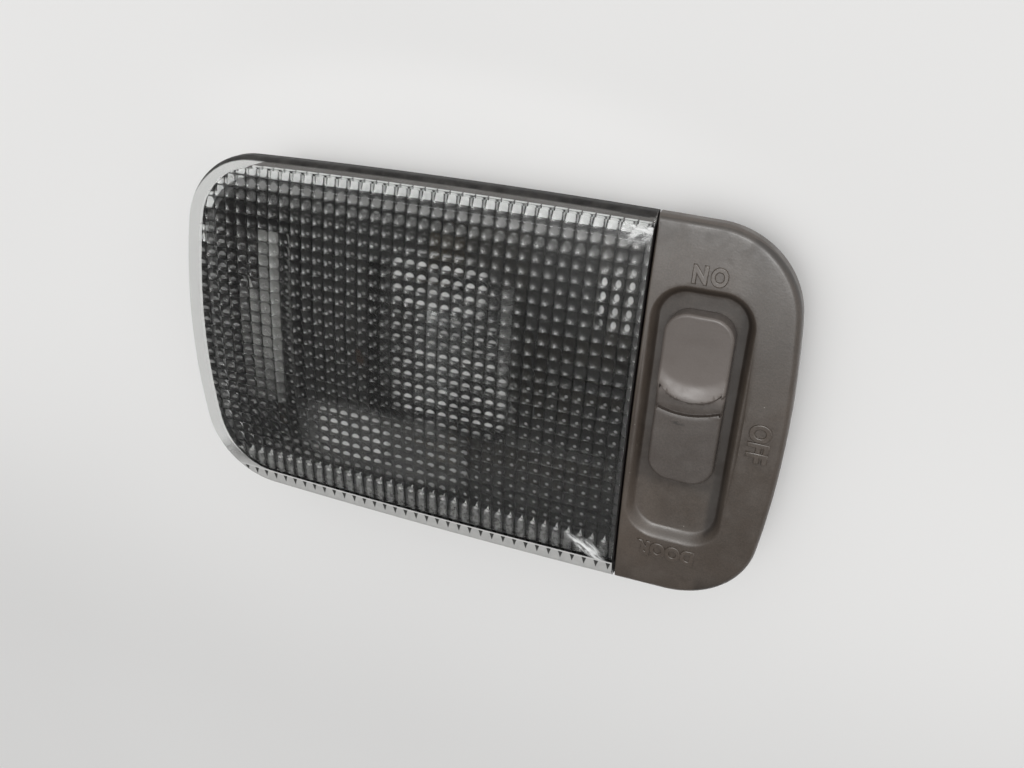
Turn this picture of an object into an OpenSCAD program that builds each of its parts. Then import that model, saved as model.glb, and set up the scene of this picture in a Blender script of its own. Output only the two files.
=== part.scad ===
// Rear seat light: a clear prismatic lens over a lamp tray, with a
// slide switch in the moulded end piece. Lies face up on its own back.
// X runs along the length (switch end at +X), Y across, Z up out of the face.

/* [Face] */
// Overall length of the face
face_len = 118.8; // [114:0.2:124]
// Overall width of the face
face_w = 72; // [70:0.5:76]
// Corner radius of the face
corner_r = 15.5; // [13.5:0.5:17.5]
// How far the short ends bow out
end_bow = 3.6; // [2.4:0.1:4.4]
// How far the long sides bow out
side_bow = 1.2; // [0.6:0.1:2]
// Radius of the crown across the width
crown_r = 285; // [250:5:320]
// Height of the face at its long edges
face_z = 20.5; // [20.3:0.1:21]
// Radius that rounds the outer edge
edge_r = 1.2; // [0.8:0.1:1.6]
// Height of the flat seat behind the rim
rim_z = 18; // [17.6:0.1:18.2]

/* [Lens] */
// Where the lens ends and the moulded end piece begins
seam_x = 33.3; // [33:0.1:33.4]
// Width of the gap at that line
seam_gap = 0.5; // [0.3:0.1:0.8]
// Thickness of the lens face
lens_t = 2.2; // [1.8:0.1:2.4]
// Depth of the locating skirt inside the tray
skirt_h = 3; // [2:0.5:4]

/* [Tray] */
// Height of the tray floor's underside
floor_z = 7.4; // [7:0.1:7.8]
// Thickness of floor and walls
wall = 1.6; // [1.4:0.1:1.8]
// Inset of the upper tray wall from the face outline
wall_in = 2.4; // [2.2:0.1:2.8]
// Radius of the two mounting holes
mount_r = 2.4; // [2:0.1:2.6]
// Outer radius of the mounting pillars
pillar_r = 4.5; // [4:0.1:5]

/* [Switch] */
// Centre of the switch recess along the length
sw_x = 42.9; // [42.8:0.05:43.2]
// Centre of the switch recess across the width
sw_y = 0.6; // [0:0.1:0.8]
// Width of the recess
rec_w = 15.4; // [15:0.1:15.6]
// Length of the recess
rec_l = 46.8; // [45:0.2:48]
// Height of the recess floor
rec_z = 20.4; // [20.2:0.1:20.5]
// Width of the sliding knob
knob_w = 11.5; // [11:0.1:12]
// Length of the sliding knob
knob_l = 31.5; // [30:0.5:32]
// Distance between two switch positions
step = 4.5; // [4:0.1:4.6]

/* [Lamp] */
// Place of the bulb along the length
bulb_x = -7.2; // [-8.2:0.1:-6.8]
// Height of the bulb's axis
bulb_z = 15.2; // [15:0.1:15.4]
// Radius of the bulb glass
glass_r = 4.6; // [4.2:0.1:4.7]
// Overall length of the bulb
bulb_l = 36; // [35.6:0.2:36.4]

/* [Hidden] */
$fn = 64;

ha = face_len / 2;                    // half length
hb = face_w / 2;                      // half width
Rl = (ha * ha + side_bow * side_bow) / (2 * side_bow);   // long side arc
Rs = (hb * hb + end_bow * end_bow) / (2 * end_bow);      // short side arc
crown_edge = sqrt(crown_r * crown_r - hb * hb);
crown_zc = face_z - crown_edge;       // height of the crown's axis
top_z = crown_zc + crown_r;           // highest line of the face
function face_h(y) = crown_zc + sqrt(crown_r * crown_r - y * y);

// corner arc centre: tangent to the long and the short side arcs
cl = [0, hb - Rl];
cs = [ha - Rs, 0];
cd = norm(cs - cl);
cu = (cs - cl) / cd;
q1 = Rl - corner_r;
q2 = Rs - corner_r;
qa = (q1 * q1 - q2 * q2 + cd * cd) / (2 * cd);
qh = sqrt(q1 * q1 - qa * qa);
cc = cl + cu * qa + [cu[1], -cu[0]] * qh;
ang1 = atan2(cc[1] - cl[1], cc[0] - cl[0]);
ang2 = atan2(cc[1] - cs[1], cc[0] - cs[0]);
n_l = 10;  // pieces of the long arc, the corner arc and the short arc
n_c = 10;
n_s = 8;

// first quarter of the outline, from the middle of the long side round to the
// middle of the short side, moved inwards by i
function quarter(i) = concat(
    [for (k = [0 : n_l - 1]) let (t = 90 + (ang1 - 90) * k / n_l) cl + (Rl - i) * [cos(t), sin(t)]],
    [for (k = [0 : n_c - 1]) let (t = ang1 + (ang2 - ang1) * k / n_c) cc + (corner_r - i) * [cos(t), sin(t)]],
    [for (k = [0 : n_s]) let (t = ang2 * (1 - k / n_s)) cs + (Rs - i) * [cos(t), sin(t)]]);
n_q = n_l + n_c + n_s;                // last index of a quarter
// right half, from the middle of the top to the middle of the bottom
function right_half(i) = let (q = quarter(i)) concat(q, [for (k = [n_q - 1 : -1 : 0]) [q[k][0], -q[k][1]]]);
n_h = 2 * n_q;                        // last index of a half
function ring2(i) = let (r = right_half(i)) concat(r, [for (k = [n_h - 1 : -1 : 1]) [-r[k][0], r[k][1]]]);
n_r = 2 * n_h;                        // points in a full ring

module outline(i) { polygon(ring2(i)); }

// rounded, crowned face block from z0 up: rings follow the edge's quarter round
n_e = 5;
function edge_in(k) = k == 0 ? 0 : edge_r * (1 - cos(90 * (k - 1) / n_e));
function ring3(k, z0) = let (r = ring2(edge_in(k)), o = ring2(0))
    [for (j = [0 : n_r - 1]) [r[j][0], r[j][1],
        k == 0 ? z0 : face_h(r[j][1]) - edge_r * (1 - sin(90 * (k - 1) / n_e))]];
module face_block(z0) {
    rings = n_e + 2;
    pts = [for (k = [0 : rings - 1]) each ring3(k, z0)];
    sides = [for (k = [0 : rings - 2]) for (j = [0 : n_r - 1]) let (j2 = (j + 1) % n_r)
        each [[k * n_r + j, k * n_r + j2, (k + 1) * n_r + j2], [k * n_r + j, (k + 1) * n_r + j2, (k + 1) * n_r + j]]];
    top0 = (rings - 1) * n_r;
    // strips across the crown: points j and n_r - j have the same y
    caps = [for (j = [0 : n_h - 1]) let (a = top0 + j, b = top0 + j + 1, c = top0 + (n_r - j - 1) % n_r, d = top0 + (n_r - j) % n_r)
        each j == 0 ? [[a, c, b]] : j == n_h - 1 ? [[a, d, b]] : [[a, c, b], [a, d, c]]];
    polyhedron(pts, concat(sides, caps, [[for (j = [n_r - 1 : -1 : 0]) j]]), convexity = 6);
}

// space under a crown that lies t below the face
module under_crown(t, i, z0) {
    intersection() {
        translate([0, 0, z0]) linear_extrude(12) outline(i);
        translate([-ha, 0, crown_zc]) rotate([0, 90, 0]) cylinder(r = crown_r - t, h = face_len, $fn = 180);
    }
}

module slab(x0, x1, y0, y1, z0, z1) { translate([x0, y0, z0]) cube([x1 - x0, y1 - y0, z1 - z0]); }
module post(x, y, z0, z1, r) { translate([x, y, z0]) cylinder(r = r, h = z1 - z0); }
module rrect(w, l, r) { // rounded rectangle of four true corner arcs
    union() {
        square([w - 2 * r, l], center = true);
        square([w, l - 2 * r], center = true);
        for (sx = [-1, 1], sy = [-1, 1]) translate([sx * (w / 2 - r), sy * (l / 2 - r)]) circle(r = r);
    }
}

lo_in = wall_in + 1.4;                // inset of the lower, narrower tray wall
step_z = 11;                          // where the wall steps in
ledge_z = rim_z + 0.4;                // top of the tray wall, which carries the lens
bulk_x = seam_x + seam_gap / 2;       // near face of the bulkhead under the seam
bulk_x2 = bulk_x + wall;
in_z = floor_z + wall;                // top of the tray floor
strip_t = 0.6;                        // sheet thickness of the contact strips
pad_z = in_z + 1.5;                   // underside of the strips in the switch chamber
mount_a = [-46, -24];
mount_b = [27.4, 24.5];
tab_x = [6.5, 12, 17.5];              // connector tabs: feed, ground, door
tab_z = 3.4;
plug = [2.6, 21.4, -31, -12.6];       // outside of the connector shroud
lim_x = ha + 5;
plat = [-54, -42, -19.5, 19.5];   // raised platform at the far end of the tray
plat_z = 13.2;

// ---- housing: end piece, tray, switch chamber and connector shroud in one moulding
module housing() color([0.47, 0.44, 0.41]) difference() {
    union() {
        // end piece
        difference() {
            intersection() {
                face_block(rim_z);
                slab(bulk_x, lim_x, -40, 40, 0, 30);
            }
            under_crown(2.2, 4, rim_z - 1);
        }
        // recess tub hanging from the end piece
        translate([sw_x, sw_y, rec_z - wall]) linear_extrude(2.4) rrect(rec_w + 3, rec_l + 3, 6.2);
        // upper and lower tray walls, stepped
        difference() {
            translate([0, 0, step_z]) linear_extrude(ledge_z - step_z) outline(wall_in);
            translate([0, 0, step_z + wall]) linear_extrude(10) outline(wall_in + wall);
            translate([0, 0, step_z - 1]) linear_extrude(10) outline(lo_in + wall);
        }
        difference() {
            translate([0, 0, floor_z]) linear_extrude(step_z - floor_z) outline(lo_in);
            translate([0, 0, in_z]) linear_extrude(10) outline(lo_in + wall);
            intersection() {
                translate([0, 0, floor_z - 1]) linear_extrude(10) outline(lo_in + wall);
                slab(bulk_x2, lim_x, -40, 40, 0, 20);
            }
        }
        // bulkhead between tray and switch chamber
        intersection() {
            translate([0, 0, floor_z]) linear_extrude(12) outline(lo_in);
            slab(bulk_x, bulk_x2, -40, 40, floor_z, rim_z + 2);
        }
        slab(bulk_x, bulk_x2, -29, 29, rim_z, rim_z + 3);
        // raised platform at the far end
        slab(plat[0], plat[1], plat[2], plat[3], floor_z, plat_z);
        // mounting pillars
        post(mount_a[0], mount_a[1], 0, in_z, pillar_r);
        post(mount_b[0], mount_b[1], 0, in_z, pillar_r);
        // webs that stiffen the pillars
        slab(mount_a[0], mount_a[0] + 12, mount_a[1] - 0.7, mount_a[1] + 0.7, 2, floor_z + 1);
        slab(mount_b[0] - 12, mount_b[0], mount_b[1] - 0.7, mount_b[1] + 0.7, 2, floor_z + 1);
        // ribs across the back
        slab(-40, -38.6, -28, 28, floor_z - 1.6, floor_z + 1);
        slab(-22, -20.6, -28, 28, floor_z - 1.6, floor_z + 1);
        // connector shroud
        slab(plug[0], plug[1], plug[2], plug[3], 0, floor_z + 1);
        // pillars for the switch base screws
        for (s = [-1, 1]) post(sw_x, s * 24.5, in_z, rec_z - 0.6, 2.7);
        // detent rail beside the carrier
        slab(sw_x + 7.15, sw_x + 8.8, sw_y - 9, sw_y + 9, 12.6, rec_z - wall + 0.5);
        // two small cradles that carry the reflector
        for (s = [-1, 1]) slab(bulb_x - 3, bulb_x + 3, s > 0 ? 10 : -14, s > 0 ? 14 : -10, in_z - 0.5, in_z + 0.8);
        // rest feet under the switch end
        for (s = [-1, 1]) slab(50.2, 53.4, s * 21 - 3, s * 21 + 3, 0, 9.5);
    }
    // recess, open to the face
    translate([sw_x, sw_y, rec_z]) linear_extrude(10) rrect(rec_w, rec_l, 5);
    // slot for the knob's stem
    slab(sw_x - 3.05, sw_x + 3.05, sw_y - 9.2, sw_y + 9.2, rec_z - 5, rec_z + 1);
    // detent notches
    for (k = [-1, 0, 1]) post(sw_x + 6.1, sw_y + k * step, 12, rec_z - wall - 0.1, 1.45);
    // inside of the platform, open to the back, and its slot
    slab(plat[0] + 1.5, plat[1] - 1.5, plat[2] + 1.5, plat[3] - 1.5, floor_z - 1, plat_z - wall);
    slab(-52, -49, 7.2, 14.4, floor_z, plat_z + 1);
    // mounting holes
    for (m = [mount_a, mount_b]) translate([m[0], m[1], -1]) cylinder(r = mount_r, h = 14);
    // inside of the connector shroud and the slots its tabs come through
    slab(plug[0] + 1.4, plug[1] - 1.4, plug[2] - 1, plug[3] - 1.4, 1.3, 6.1);
    for (x = tab_x) {
        slab(x - 1.4, x + 1.4, plug[3] - 2, plug[3] + 1, tab_z - 0.1, tab_z + strip_t + 0.1);
        slab(x - 1.4, x + 1.4, -11.4, -10.5, floor_z - 1, in_z + 1);
    }
    // windows for the strips in the bulkhead
    for (y = [4.5, -4.5, -18]) slab(bulk_x - 1, bulk_x2 + 1, y - 2.2, y + 2.2, pad_z - 0.1, pad_z + strip_t + 0.1);
    // pilot holes for the base screws
    for (s = [-1, 1]) translate([sw_x, s * 24.5, in_z - 1]) cylinder(r = 1.15, h = 8);
    // windows that the lens tabs click into
    for (s = [-1, 1]) slab(26, 31, s > 0 ? 30 : -36, s > 0 ? 36 : -30, 13.2, 15.2);
    slab(-ha - 1, -ha + 6.4, -4, 4, 13.3, 15.2);
}

// ---- clear lens with its locating skirt and click tabs
sk_o = wall_in + wall + 0.2;
module lens() color([0.86, 0.88, 0.88, 0.55]) union() {
    difference() {
        intersection() {
            face_block(rim_z);
            slab(-lim_x, seam_x - seam_gap / 2, -40, 40, 0, 30);
        }
        // clearance over the tray wall
        translate([0, 0, rim_z - 1]) linear_extrude(ledge_z - rim_z + 1) outline(wall_in - 0.2);
        intersection() {
            under_crown(lens_t, sk_o + 1.2, rim_z - 1);
            slab(-lim_x, seam_x - 1.6, -40, 40, 0, 30);
        }
    }
    // skirt
    difference() {
        intersection() {
            translate([0, 0, ledge_z - skirt_h]) linear_extrude(skirt_h + 0.6) outline(sk_o);
            slab(-lim_x, seam_x - seam_gap / 2 - 0.1, -40, 40, 0, 30);
        }
        translate([0, 0, 5]) linear_extrude(20) intersection() {
            outline(sk_o + 1.2);
            translate([-lim_x, -40]) square([lim_x + seam_x - 1.6, 80]);
        }
    }
    // click tabs with their noses
    for (s = [-1, 1]) {
        slab(26.4, 30.6, s > 0 ? 30.2 : -31.4, s > 0 ? 31.4 : -30.2, 13, ledge_z);
        slab(26.4, 30.6, s > 0 ? 31 : -32.8, s > 0 ? 32.8 : -31, 13.4, 15);
    }
    slab(-ha + 4.4, -ha + 5.6, -3.6, 3.6, 13.4, ledge_z);
    slab(-ha + 3, -ha + 4.8, -3.6, 3.6, 13.5, 15);
}

// ---- sliding knob; drawn in its rest position, at the end nearest ON
module at_rest() { translate([0, step + sw_y, 0]) children(); }
module switch_knob() color([0.45, 0.43, 0.40]) at_rest() translate([sw_x - 0.05, 0, 0]) union() {
    difference() {
        union() {
            // sole that slides on the recess floor
            translate([0, 0, rec_z + 0.15]) linear_extrude(1.25) rrect(knob_w, knob_l, 3.4);
            // lower flat pad
            translate([0, -8.85, rec_z + 1.3]) linear_extrude(0.85) rrect(knob_w - 0.5, knob_l / 2 - 2.2, 3.1);
            // raised thumb pad
            translate([0, 7.9, rec_z + 1.3]) linear_extrude(2.3) rrect(knob_w - 0.1, knob_l / 2 - 0.2, 3.3);
        }
        // hollow of the thumb pad
        translate([0, 8.4, rec_z + 3.6 + 21.3]) sphere(r = 22, $fn = 96);
    }
    // stem through the slot
    slab(-2.8, 2.8, -4.5, 4.5, rec_z - 4.4, rec_z + 1);
}

// ---- white carrier under the recess floor
car_z0 = 13.2;
car_z1 = rec_z - wall - 0.2;
module slider_carrier() color([0.90, 0.90, 0.87]) at_rest() difference() {
    slab(sw_x - 5.5, sw_x + 5.5, -7.5, 7.5, car_z0, car_z1);
    slab(sw_x - 2.87, sw_x + 2.77, -4.52, 4.52, rec_z - 4.42, car_z1 + 1);
    translate([sw_x - 4.2, 0, 14.75]) rotate([0, 90, 0]) cylinder(r = 1.25, h = 12);
    // underside relief for the moving contact
    slab(sw_x - 3.9, sw_x + 3.9, -6.2, 6.2, car_z0 - 1, car_z0 + 0.25);
}

// ---- bronze contact that bridges the strips
module moving_contact() color([0.78, 0.55, 0.30]) at_rest() union() {
    slab(sw_x - 3.8, sw_x + 3.8, -6, 6, car_z0 - 0.25, car_z0 + 0.25);
    for (x = [sw_x - 2.6, sw_x + 2.6]) {
        slab(x - 0.9, x + 0.9, -6, -5.6, pad_z + strip_t + 0.5, car_z0);
        slab(x - 0.9, x + 0.9, 5.6, 6, pad_z + strip_t + 0.5, car_z0);
        slab(x - 0.9, x + 0.9, -6, 6, pad_z + strip_t + 0.5, pad_z + strip_t + 0.8);
        translate([x - 0.9, 0, pad_z + strip_t + 1.1]) rotate([0, 90, 0]) cylinder(r = 1, h = 1.8);
    }
}

// ---- detent ball and its coil spring
module detent_ball() color([0.75, 0.76, 0.78]) at_rest() translate([sw_x + 5.85, 0, 14.75]) sphere(r = 1.15, $fn = 48);
sp_n = 7;     // turns
sp_s = 14;    // rings per turn
sp_m = 8;     // sides of the wire
sp_w = 0.17;  // wire radius
sp_r = 0.9;   // coil radius
sp_x0 = sw_x - 3.9;
sp_x1 = sw_x + 4.45;
function sp_pt(i) = let (t = 360 * i / sp_s, k = i / (sp_n * sp_s)) [sp_x0 + (sp_x1 - sp_x0) * k, sp_r * cos(t), sp_r * sin(t)];
module detent_spring() color([0.70, 0.71, 0.73]) at_rest() translate([0, 0, 14.75]) {
    n = sp_n * sp_s;
    pts = [for (i = [0 : n]) for (j = [0 : sp_m - 1])
        let (t = 360 * i / sp_s, a = 360 * j / sp_m, p = sp_pt(i))
        p + sp_w * [cos(a), sin(a) * cos(t), sin(a) * sin(t)]];
    polyhedron(pts, concat(
        [for (i = [0 : n - 1]) for (j = [0 : sp_m - 1]) let (j2 = (j + 1) % sp_m)
            each [[i * sp_m + j, (i + 1) * sp_m + j, (i + 1) * sp_m + j2], [i * sp_m + j, (i + 1) * sp_m + j2, i * sp_m + j2]]],
        [[for (j = [0 : sp_m - 1]) j]], [[for (j = [sp_m - 1 : -1 : 0]) n * sp_m + j]]), convexity = 10);
}

// ---- black base that closes the switch chamber and carries the strips
module switch_base() color([0.09, 0.09, 0.10]) difference() {
    union() {
        intersection() {
            translate([0, 0, floor_z]) linear_extrude(wall) outline(lo_in + wall + 0.2);
            slab(bulk_x2 + 0.2, lim_x, -40, 40, 0, 20);
        }
        slab(sw_x - 4.6, sw_x - 0.6, -10, 10, in_z - 0.5, pad_z);
        slab(sw_x + 0.6, sw_x + 4.6, -20.4, 10, in_z - 0.5, pad_z);
        slab(bulk_x2 + 0.4, sw_x + 4.6, -20.4, -15.6, in_z - 0.5, pad_z);
        // ribs on the back
        for (y = [-10, 10]) slab(38.2, 47.5, y - 0.8, y + 0.8, 4.4, in_z - 0.5);
    }
    for (s = [-1, 1]) {
        translate([sw_x, s * 24.5, 0]) cylinder(r = 1.35, h = 12);
        slab(49.9, 53.7, s * 21 - 3.3, s * 21 + 3.3, 0, 10);
    }
}

module base_screws() color([0.72, 0.73, 0.75]) for (s = [-1, 1]) translate([sw_x, s * 24.5, 0]) difference() {
    union() {
        translate([0, 0, floor_z - 1.4]) cylinder(r = 2.2, h = 1.4);
        translate([0, 0, floor_z - 0.1]) cylinder(r = 1.05, h = 7.4);
    }
    for (a = [0, 90]) rotate([0, 0, a]) slab(-1.3, 1.3, -0.25, 0.25, floor_z - 2, floor_z - 0.7);
}

// ---- contact strips: flat runs on the tray floor, risers to the switch, and connector tabs
module run(x0, x1, y0, y1, z = in_z) { slab(x0, x1, y0, y1, z, z + strip_t); }
module tab(x) {
    slab(x - 1.1, x + 1.1, -11.25, -10.65, tab_z, in_z + strip_t);
    slab(x - 1.1, x + 1.1, -22, -10.65, tab_z, tab_z + strip_t);
    slab(x - 1.1, x + 1.1, -11.25, -8, in_z, in_z + strip_t);
}
module riser(y, w) {
    slab(bulk_x - 1.4, bulk_x - 0.8, y - w / 2, y + w / 2, in_z, pad_z + strip_t);
}
module feed_strip() color([0.80, 0.72, 0.48]) union() {
    tab(tab_x[0]);
    run(tab_x[0] - 2, tab_x[0] + 2, -9, 25);
    run(bulb_x - 4, tab_x[0] + 2, 19, 25);
}
module lamp_strip() color([0.80, 0.72, 0.48]) difference() {
    union() {
        run(-36, bulb_x + 4, -29, -19);
        run(bulb_x, bulk_x - 0.8, -25, -19);
        run(bulk_x - 5, bulk_x - 0.8, -25, -16);
        riser(-18, 4);
        run(bulk_x - 1.4, sw_x + 4.4, -20, -16, pad_z);
        run(sw_x + 0.8, sw_x + 4.4, -20, 9.6, pad_z);
    }
    slab(bulk_x - 5.5, bulk_x - 0.8, -30, -20, in_z - 1, pad_z - 0.1);
}
module ground_strip() color([0.80, 0.72, 0.48]) difference() {
    union() {
        tab(tab_x[1]);
        run(tab_x[1] - 2, tab_x[1] + 2, -9, 6.5);
        run(tab_x[1] - 2, bulk_x - 0.8, 2.5, 6.5);
        run(23.4, 31.4, 2.5, 22);
        translate([mount_b[0], mount_b[1], in_z]) cylinder(r = 5.2, h = strip_t);
        riser(4.5, 4);
        run(bulk_x - 1.4, sw_x - 0.8, 2.5, 6.5, pad_z);
        run(sw_x - 4.4, sw_x - 0.8, 2.5, 9.6, pad_z);
    }
    translate([mount_b[0], mount_b[1], in_z - 1]) cylinder(r = mount_r + 0.2, h = 3);
}
module door_strip() color([0.80, 0.72, 0.48]) union() {
    tab(tab_x[2]);
    run(tab_x[2] - 2, tab_x[2] + 2, -9, -2.5);
    run(tab_x[2] - 2, bulk_x - 0.8, -6.5, -2.5);
    riser(-4.5, 4);
    run(bulk_x - 1.4, sw_x - 0.8, -6.5, -2.5, pad_z);
    run(sw_x - 4.4, sw_x - 0.8, -9.6, -2.5, pad_z);
}

// ---- spring holders for the bulb, riveted to the strips
module bulb_holder(s) color([0.83, 0.62, 0.36]) difference() {
    union() {
        slab(bulb_x - 3.5, bulb_x + 3.5, s > 0 ? 16.6 : -17.1, s > 0 ? 17.1 : -16.6, in_z + strip_t, bulb_z + 3.4);
        slab(bulb_x - 3.5, bulb_x + 3.5, s > 0 ? 16.6 : -24.4, s > 0 ? 24.4 : -16.6, in_z + strip_t, in_z + strip_t + 0.5);
    }
    translate([bulb_x, 0, bulb_z]) rotate([90, 0, 0]) cylinder(r = 2.32, h = 60, center = true);
    translate([bulb_x, s * 22, in_z]) cylinder(r = 1.15, h = 3);
}
module bulb_holder_feed() { bulb_holder(1); }
module bulb_holder_lamp() { bulb_holder(-1); }
module holder_rivets() color([0.76, 0.70, 0.55]) for (s = [-1, 1]) translate([bulb_x, s * 22, in_z + strip_t]) union() {
    cylinder(r = 1.05, h = 0.6);
    translate([0, 0, 0.5]) cylinder(r = 1.9, h = 0.6);
}

// ---- polished trough under the bulb
ref_w = 29;  // chord
ref_s = 4.6;   // depth
ref_R = (ref_w * ref_w / 4 + ref_s * ref_s) / (2 * ref_s);
ref_l = 32;
module reflector() color([0.86, 0.87, 0.88]) translate([bulb_x, 0, in_z + 0.8]) rotate([90, 0, 0]) translate([0, 0, -ref_l / 2])
    linear_extrude(ref_l) intersection() {
        translate([0, ref_R]) difference() { circle(r = ref_R, $fn = 180); circle(r = ref_R - 0.5, $fn = 180); }
        translate([-ref_w / 2, -1]) square([ref_w, ref_s + 1]);
    }

// ---- festoon bulb: hollow glass, two metal caps, filament
g_y = 12.2;    // half length of the glass
module along_y() { translate([bulb_x, 0, bulb_z]) rotate([-90, 0, 0]) children(); }
module bulb_glass() color([0.93, 0.95, 0.96, 0.4]) along_y() rotate_extrude($fn = 72) polygon([
    [3.0, -g_y], [3.45, -g_y], [3.45, -11.2], [3.8, -10.4], [glass_r, -9], [glass_r, 9], [3.8, 10.4], [3.45, 11.2], [3.45, g_y], [3.0, g_y],
    [3.0, 11], [glass_r - 0.55, 8.8], [glass_r - 0.55, -8.8], [3.0, -11]]);
module cap(s) color([0.78, 0.79, 0.80]) along_y() scale(1) mirror([0, 0, s > 0 ? 0 : 1]) rotate_extrude($fn = 64) polygon([
    [3.5, 11.4], [3.95, 11.4], [3.95, 14.3], [3.7, 14.6], [1.3, bulb_l / 2 - 0.2], [0.9, bulb_l / 2], [0, bulb_l / 2],
    [0, g_y + 0.4], [3.3, g_y + 0.4], [3.5, g_y + 0.1]]);
module bulb_cap_feed() { cap(1); }
module bulb_cap_lamp() { cap(-1); }
module bulb_filament() color([0.62, 0.62, 0.60]) along_y() union() {
    cylinder(r = 0.28, h = 2 * g_y - 6, center = true, $fn = 24);
    for (s = [-1, 1]) translate([0, 0, s > 0 ? g_y - 3.2 : -g_y - 0.4]) cylinder(r = 0.2, h = 3.6, $fn = 16);
    for (s = [-1, 1]) translate([0, 0, s * (g_y - 3.1)]) cylinder(r = 0.45, h = 0.7, center = true, $fn = 16);
}

housing();
lens();
switch_knob();
slider_carrier();
moving_contact();
detent_ball();
detent_spring();
switch_base();
base_screws();
feed_strip();
lamp_strip();
ground_strip();
door_strip();
bulb_holder_feed();
bulb_holder_lamp();
holder_rivets();
reflector();
bulb_glass();
bulb_cap_feed();
bulb_cap_lamp();
bulb_filament();
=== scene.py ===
import bmesh
import bpy
import math
import random
import numpy as np
from mathutils import Matrix, Vector
from mathutils.geometry import delaunay_2d_cdt


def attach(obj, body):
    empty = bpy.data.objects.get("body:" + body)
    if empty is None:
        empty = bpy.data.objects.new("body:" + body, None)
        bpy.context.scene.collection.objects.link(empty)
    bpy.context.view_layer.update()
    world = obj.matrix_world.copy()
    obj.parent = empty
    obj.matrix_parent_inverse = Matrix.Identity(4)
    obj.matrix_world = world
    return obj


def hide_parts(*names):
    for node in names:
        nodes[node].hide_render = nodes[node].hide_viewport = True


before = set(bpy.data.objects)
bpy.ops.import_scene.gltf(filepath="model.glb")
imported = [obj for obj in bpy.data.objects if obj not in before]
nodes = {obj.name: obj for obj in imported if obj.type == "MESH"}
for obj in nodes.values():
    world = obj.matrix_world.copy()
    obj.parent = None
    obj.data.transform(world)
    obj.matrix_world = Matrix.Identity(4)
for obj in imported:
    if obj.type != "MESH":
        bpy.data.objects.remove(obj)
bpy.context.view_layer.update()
scene = bpy.context.scene
random.seed(7)
MM = 0.001
PITCH = 2.4
OFF_X, OFF_Y = 0.65, 0.0

# ------------------------------------------------------------------ camera
R = Matrix(((0.931985, 0.053009, -0.358601),
            (0.199158, -0.901452, 0.384345),
            (-0.302888, -0.429622, -0.850696)))
cam_data = bpy.data.cameras.new("camera")
cam_data.sensor_width = 36.0
cam_data.lens = 31.43
cam_data.clip_start = 0.005
cam = bpy.data.objects.new("camera", cam_data)
M = (R.transposed() @ Matrix.Diagonal((1, -1, -1))).to_4x4()
M.translation = Vector((0.05997, 0.07077, 0.15958))
cam.matrix_world = M
scene.collection.objects.link(cam)
scene.camera = cam


# ------------------------------------------------------------------ material helpers
def new_mat(name):
    m = bpy.data.materials.new(name)
    m.use_nodes = True
    nt = m.node_tree
    return m, nt, nt.nodes["Principled BSDF"]


def coords(nt, scale=(1, 1, 1)):
    tc = nt.nodes.new("ShaderNodeTexCoord")
    mp = nt.nodes.new("ShaderNodeMapping")
    mp.inputs["Scale"].default_value = scale
    nt.links.new(tc.outputs["Object"], mp.inputs["Vector"])
    return mp.outputs["Vector"]


def noise(nt, vec, scale, detail=4.0, rough=0.55, dist=0.0):
    n = nt.nodes.new("ShaderNodeTexNoise")
    n.inputs["Scale"].default_value = scale
    n.inputs["Detail"].default_value = detail
    n.inputs["Roughness"].default_value = rough
    n.inputs["Distortion"].default_value = dist
    nt.links.new(vec, n.inputs["Vector"])
    return n.outputs["Fac"]


def ramp(nt, fac, stops):
    r = nt.nodes.new("ShaderNodeValToRGB")
    el = r.color_ramp.elements
    while len(el) < len(stops):
        el.new(0.5)
    for e, (p, c) in zip(el, stops):
        e.position = p
        e.color = (c, c, c, 1) if isinstance(c, (int, float)) else (*c, 1)
    nt.links.new(fac, r.inputs["Fac"])
    return r.outputs["Color"]


def mixc(nt, fac, a, b, mode="MIX"):
    m = nt.nodes.new("ShaderNodeMix")
    m.data_type = "RGBA"
    m.blend_type = mode
    for sock, v in ((m.inputs[0], fac), (m.inputs[6], a), (m.inputs[7], b)):
        if hasattr(v, "links"):
            nt.links.new(v, sock)
        elif isinstance(v, (int, float)):
            sock.default_value = v
        else:
            sock.default_value = (*v, 1)
    return m.outputs[2]


def maprange(nt, val, a, b, c, d, smooth=True):
    m = nt.nodes.new("ShaderNodeMapRange")
    if smooth:
        m.interpolation_type = "SMOOTHSTEP"
    for k, v in zip(("From Min", "From Max", "To Min", "To Max"), (a, b, c, d)):
        m.inputs[k].default_value = v
    nt.links.new(val, m.inputs["Value"])
    return m.outputs["Result"]


def combine(nt, op, x, y):
    k = nt.nodes.new("ShaderNodeMath")
    k.operation = op
    for q, sock in ((x, k.inputs[0]), (y, k.inputs[1])):
        if hasattr(q, "links"):
            nt.links.new(q, sock)
        else:
            sock.default_value = q
    return k.outputs[0]


def xyz(nt, vec):
    s = nt.nodes.new("ShaderNodeSeparateXYZ")
    nt.links.new(vec, s.inputs[0])
    return s.outputs


def bump_chain(nt, bsdf, parts):
    last = None
    for h, st, d in parts:
        b = nt.nodes.new("ShaderNodeBump")
        b.inputs["Strength"].default_value = st
        b.inputs["Distance"].default_value = d
        nt.links.new(h, b.inputs["Height"])
        if last is not None:
            nt.links.new(last, b.inputs["Normal"])
        last = b.outputs["Normal"]
    nt.links.new(last, bsdf.inputs["Normal"])


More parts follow.
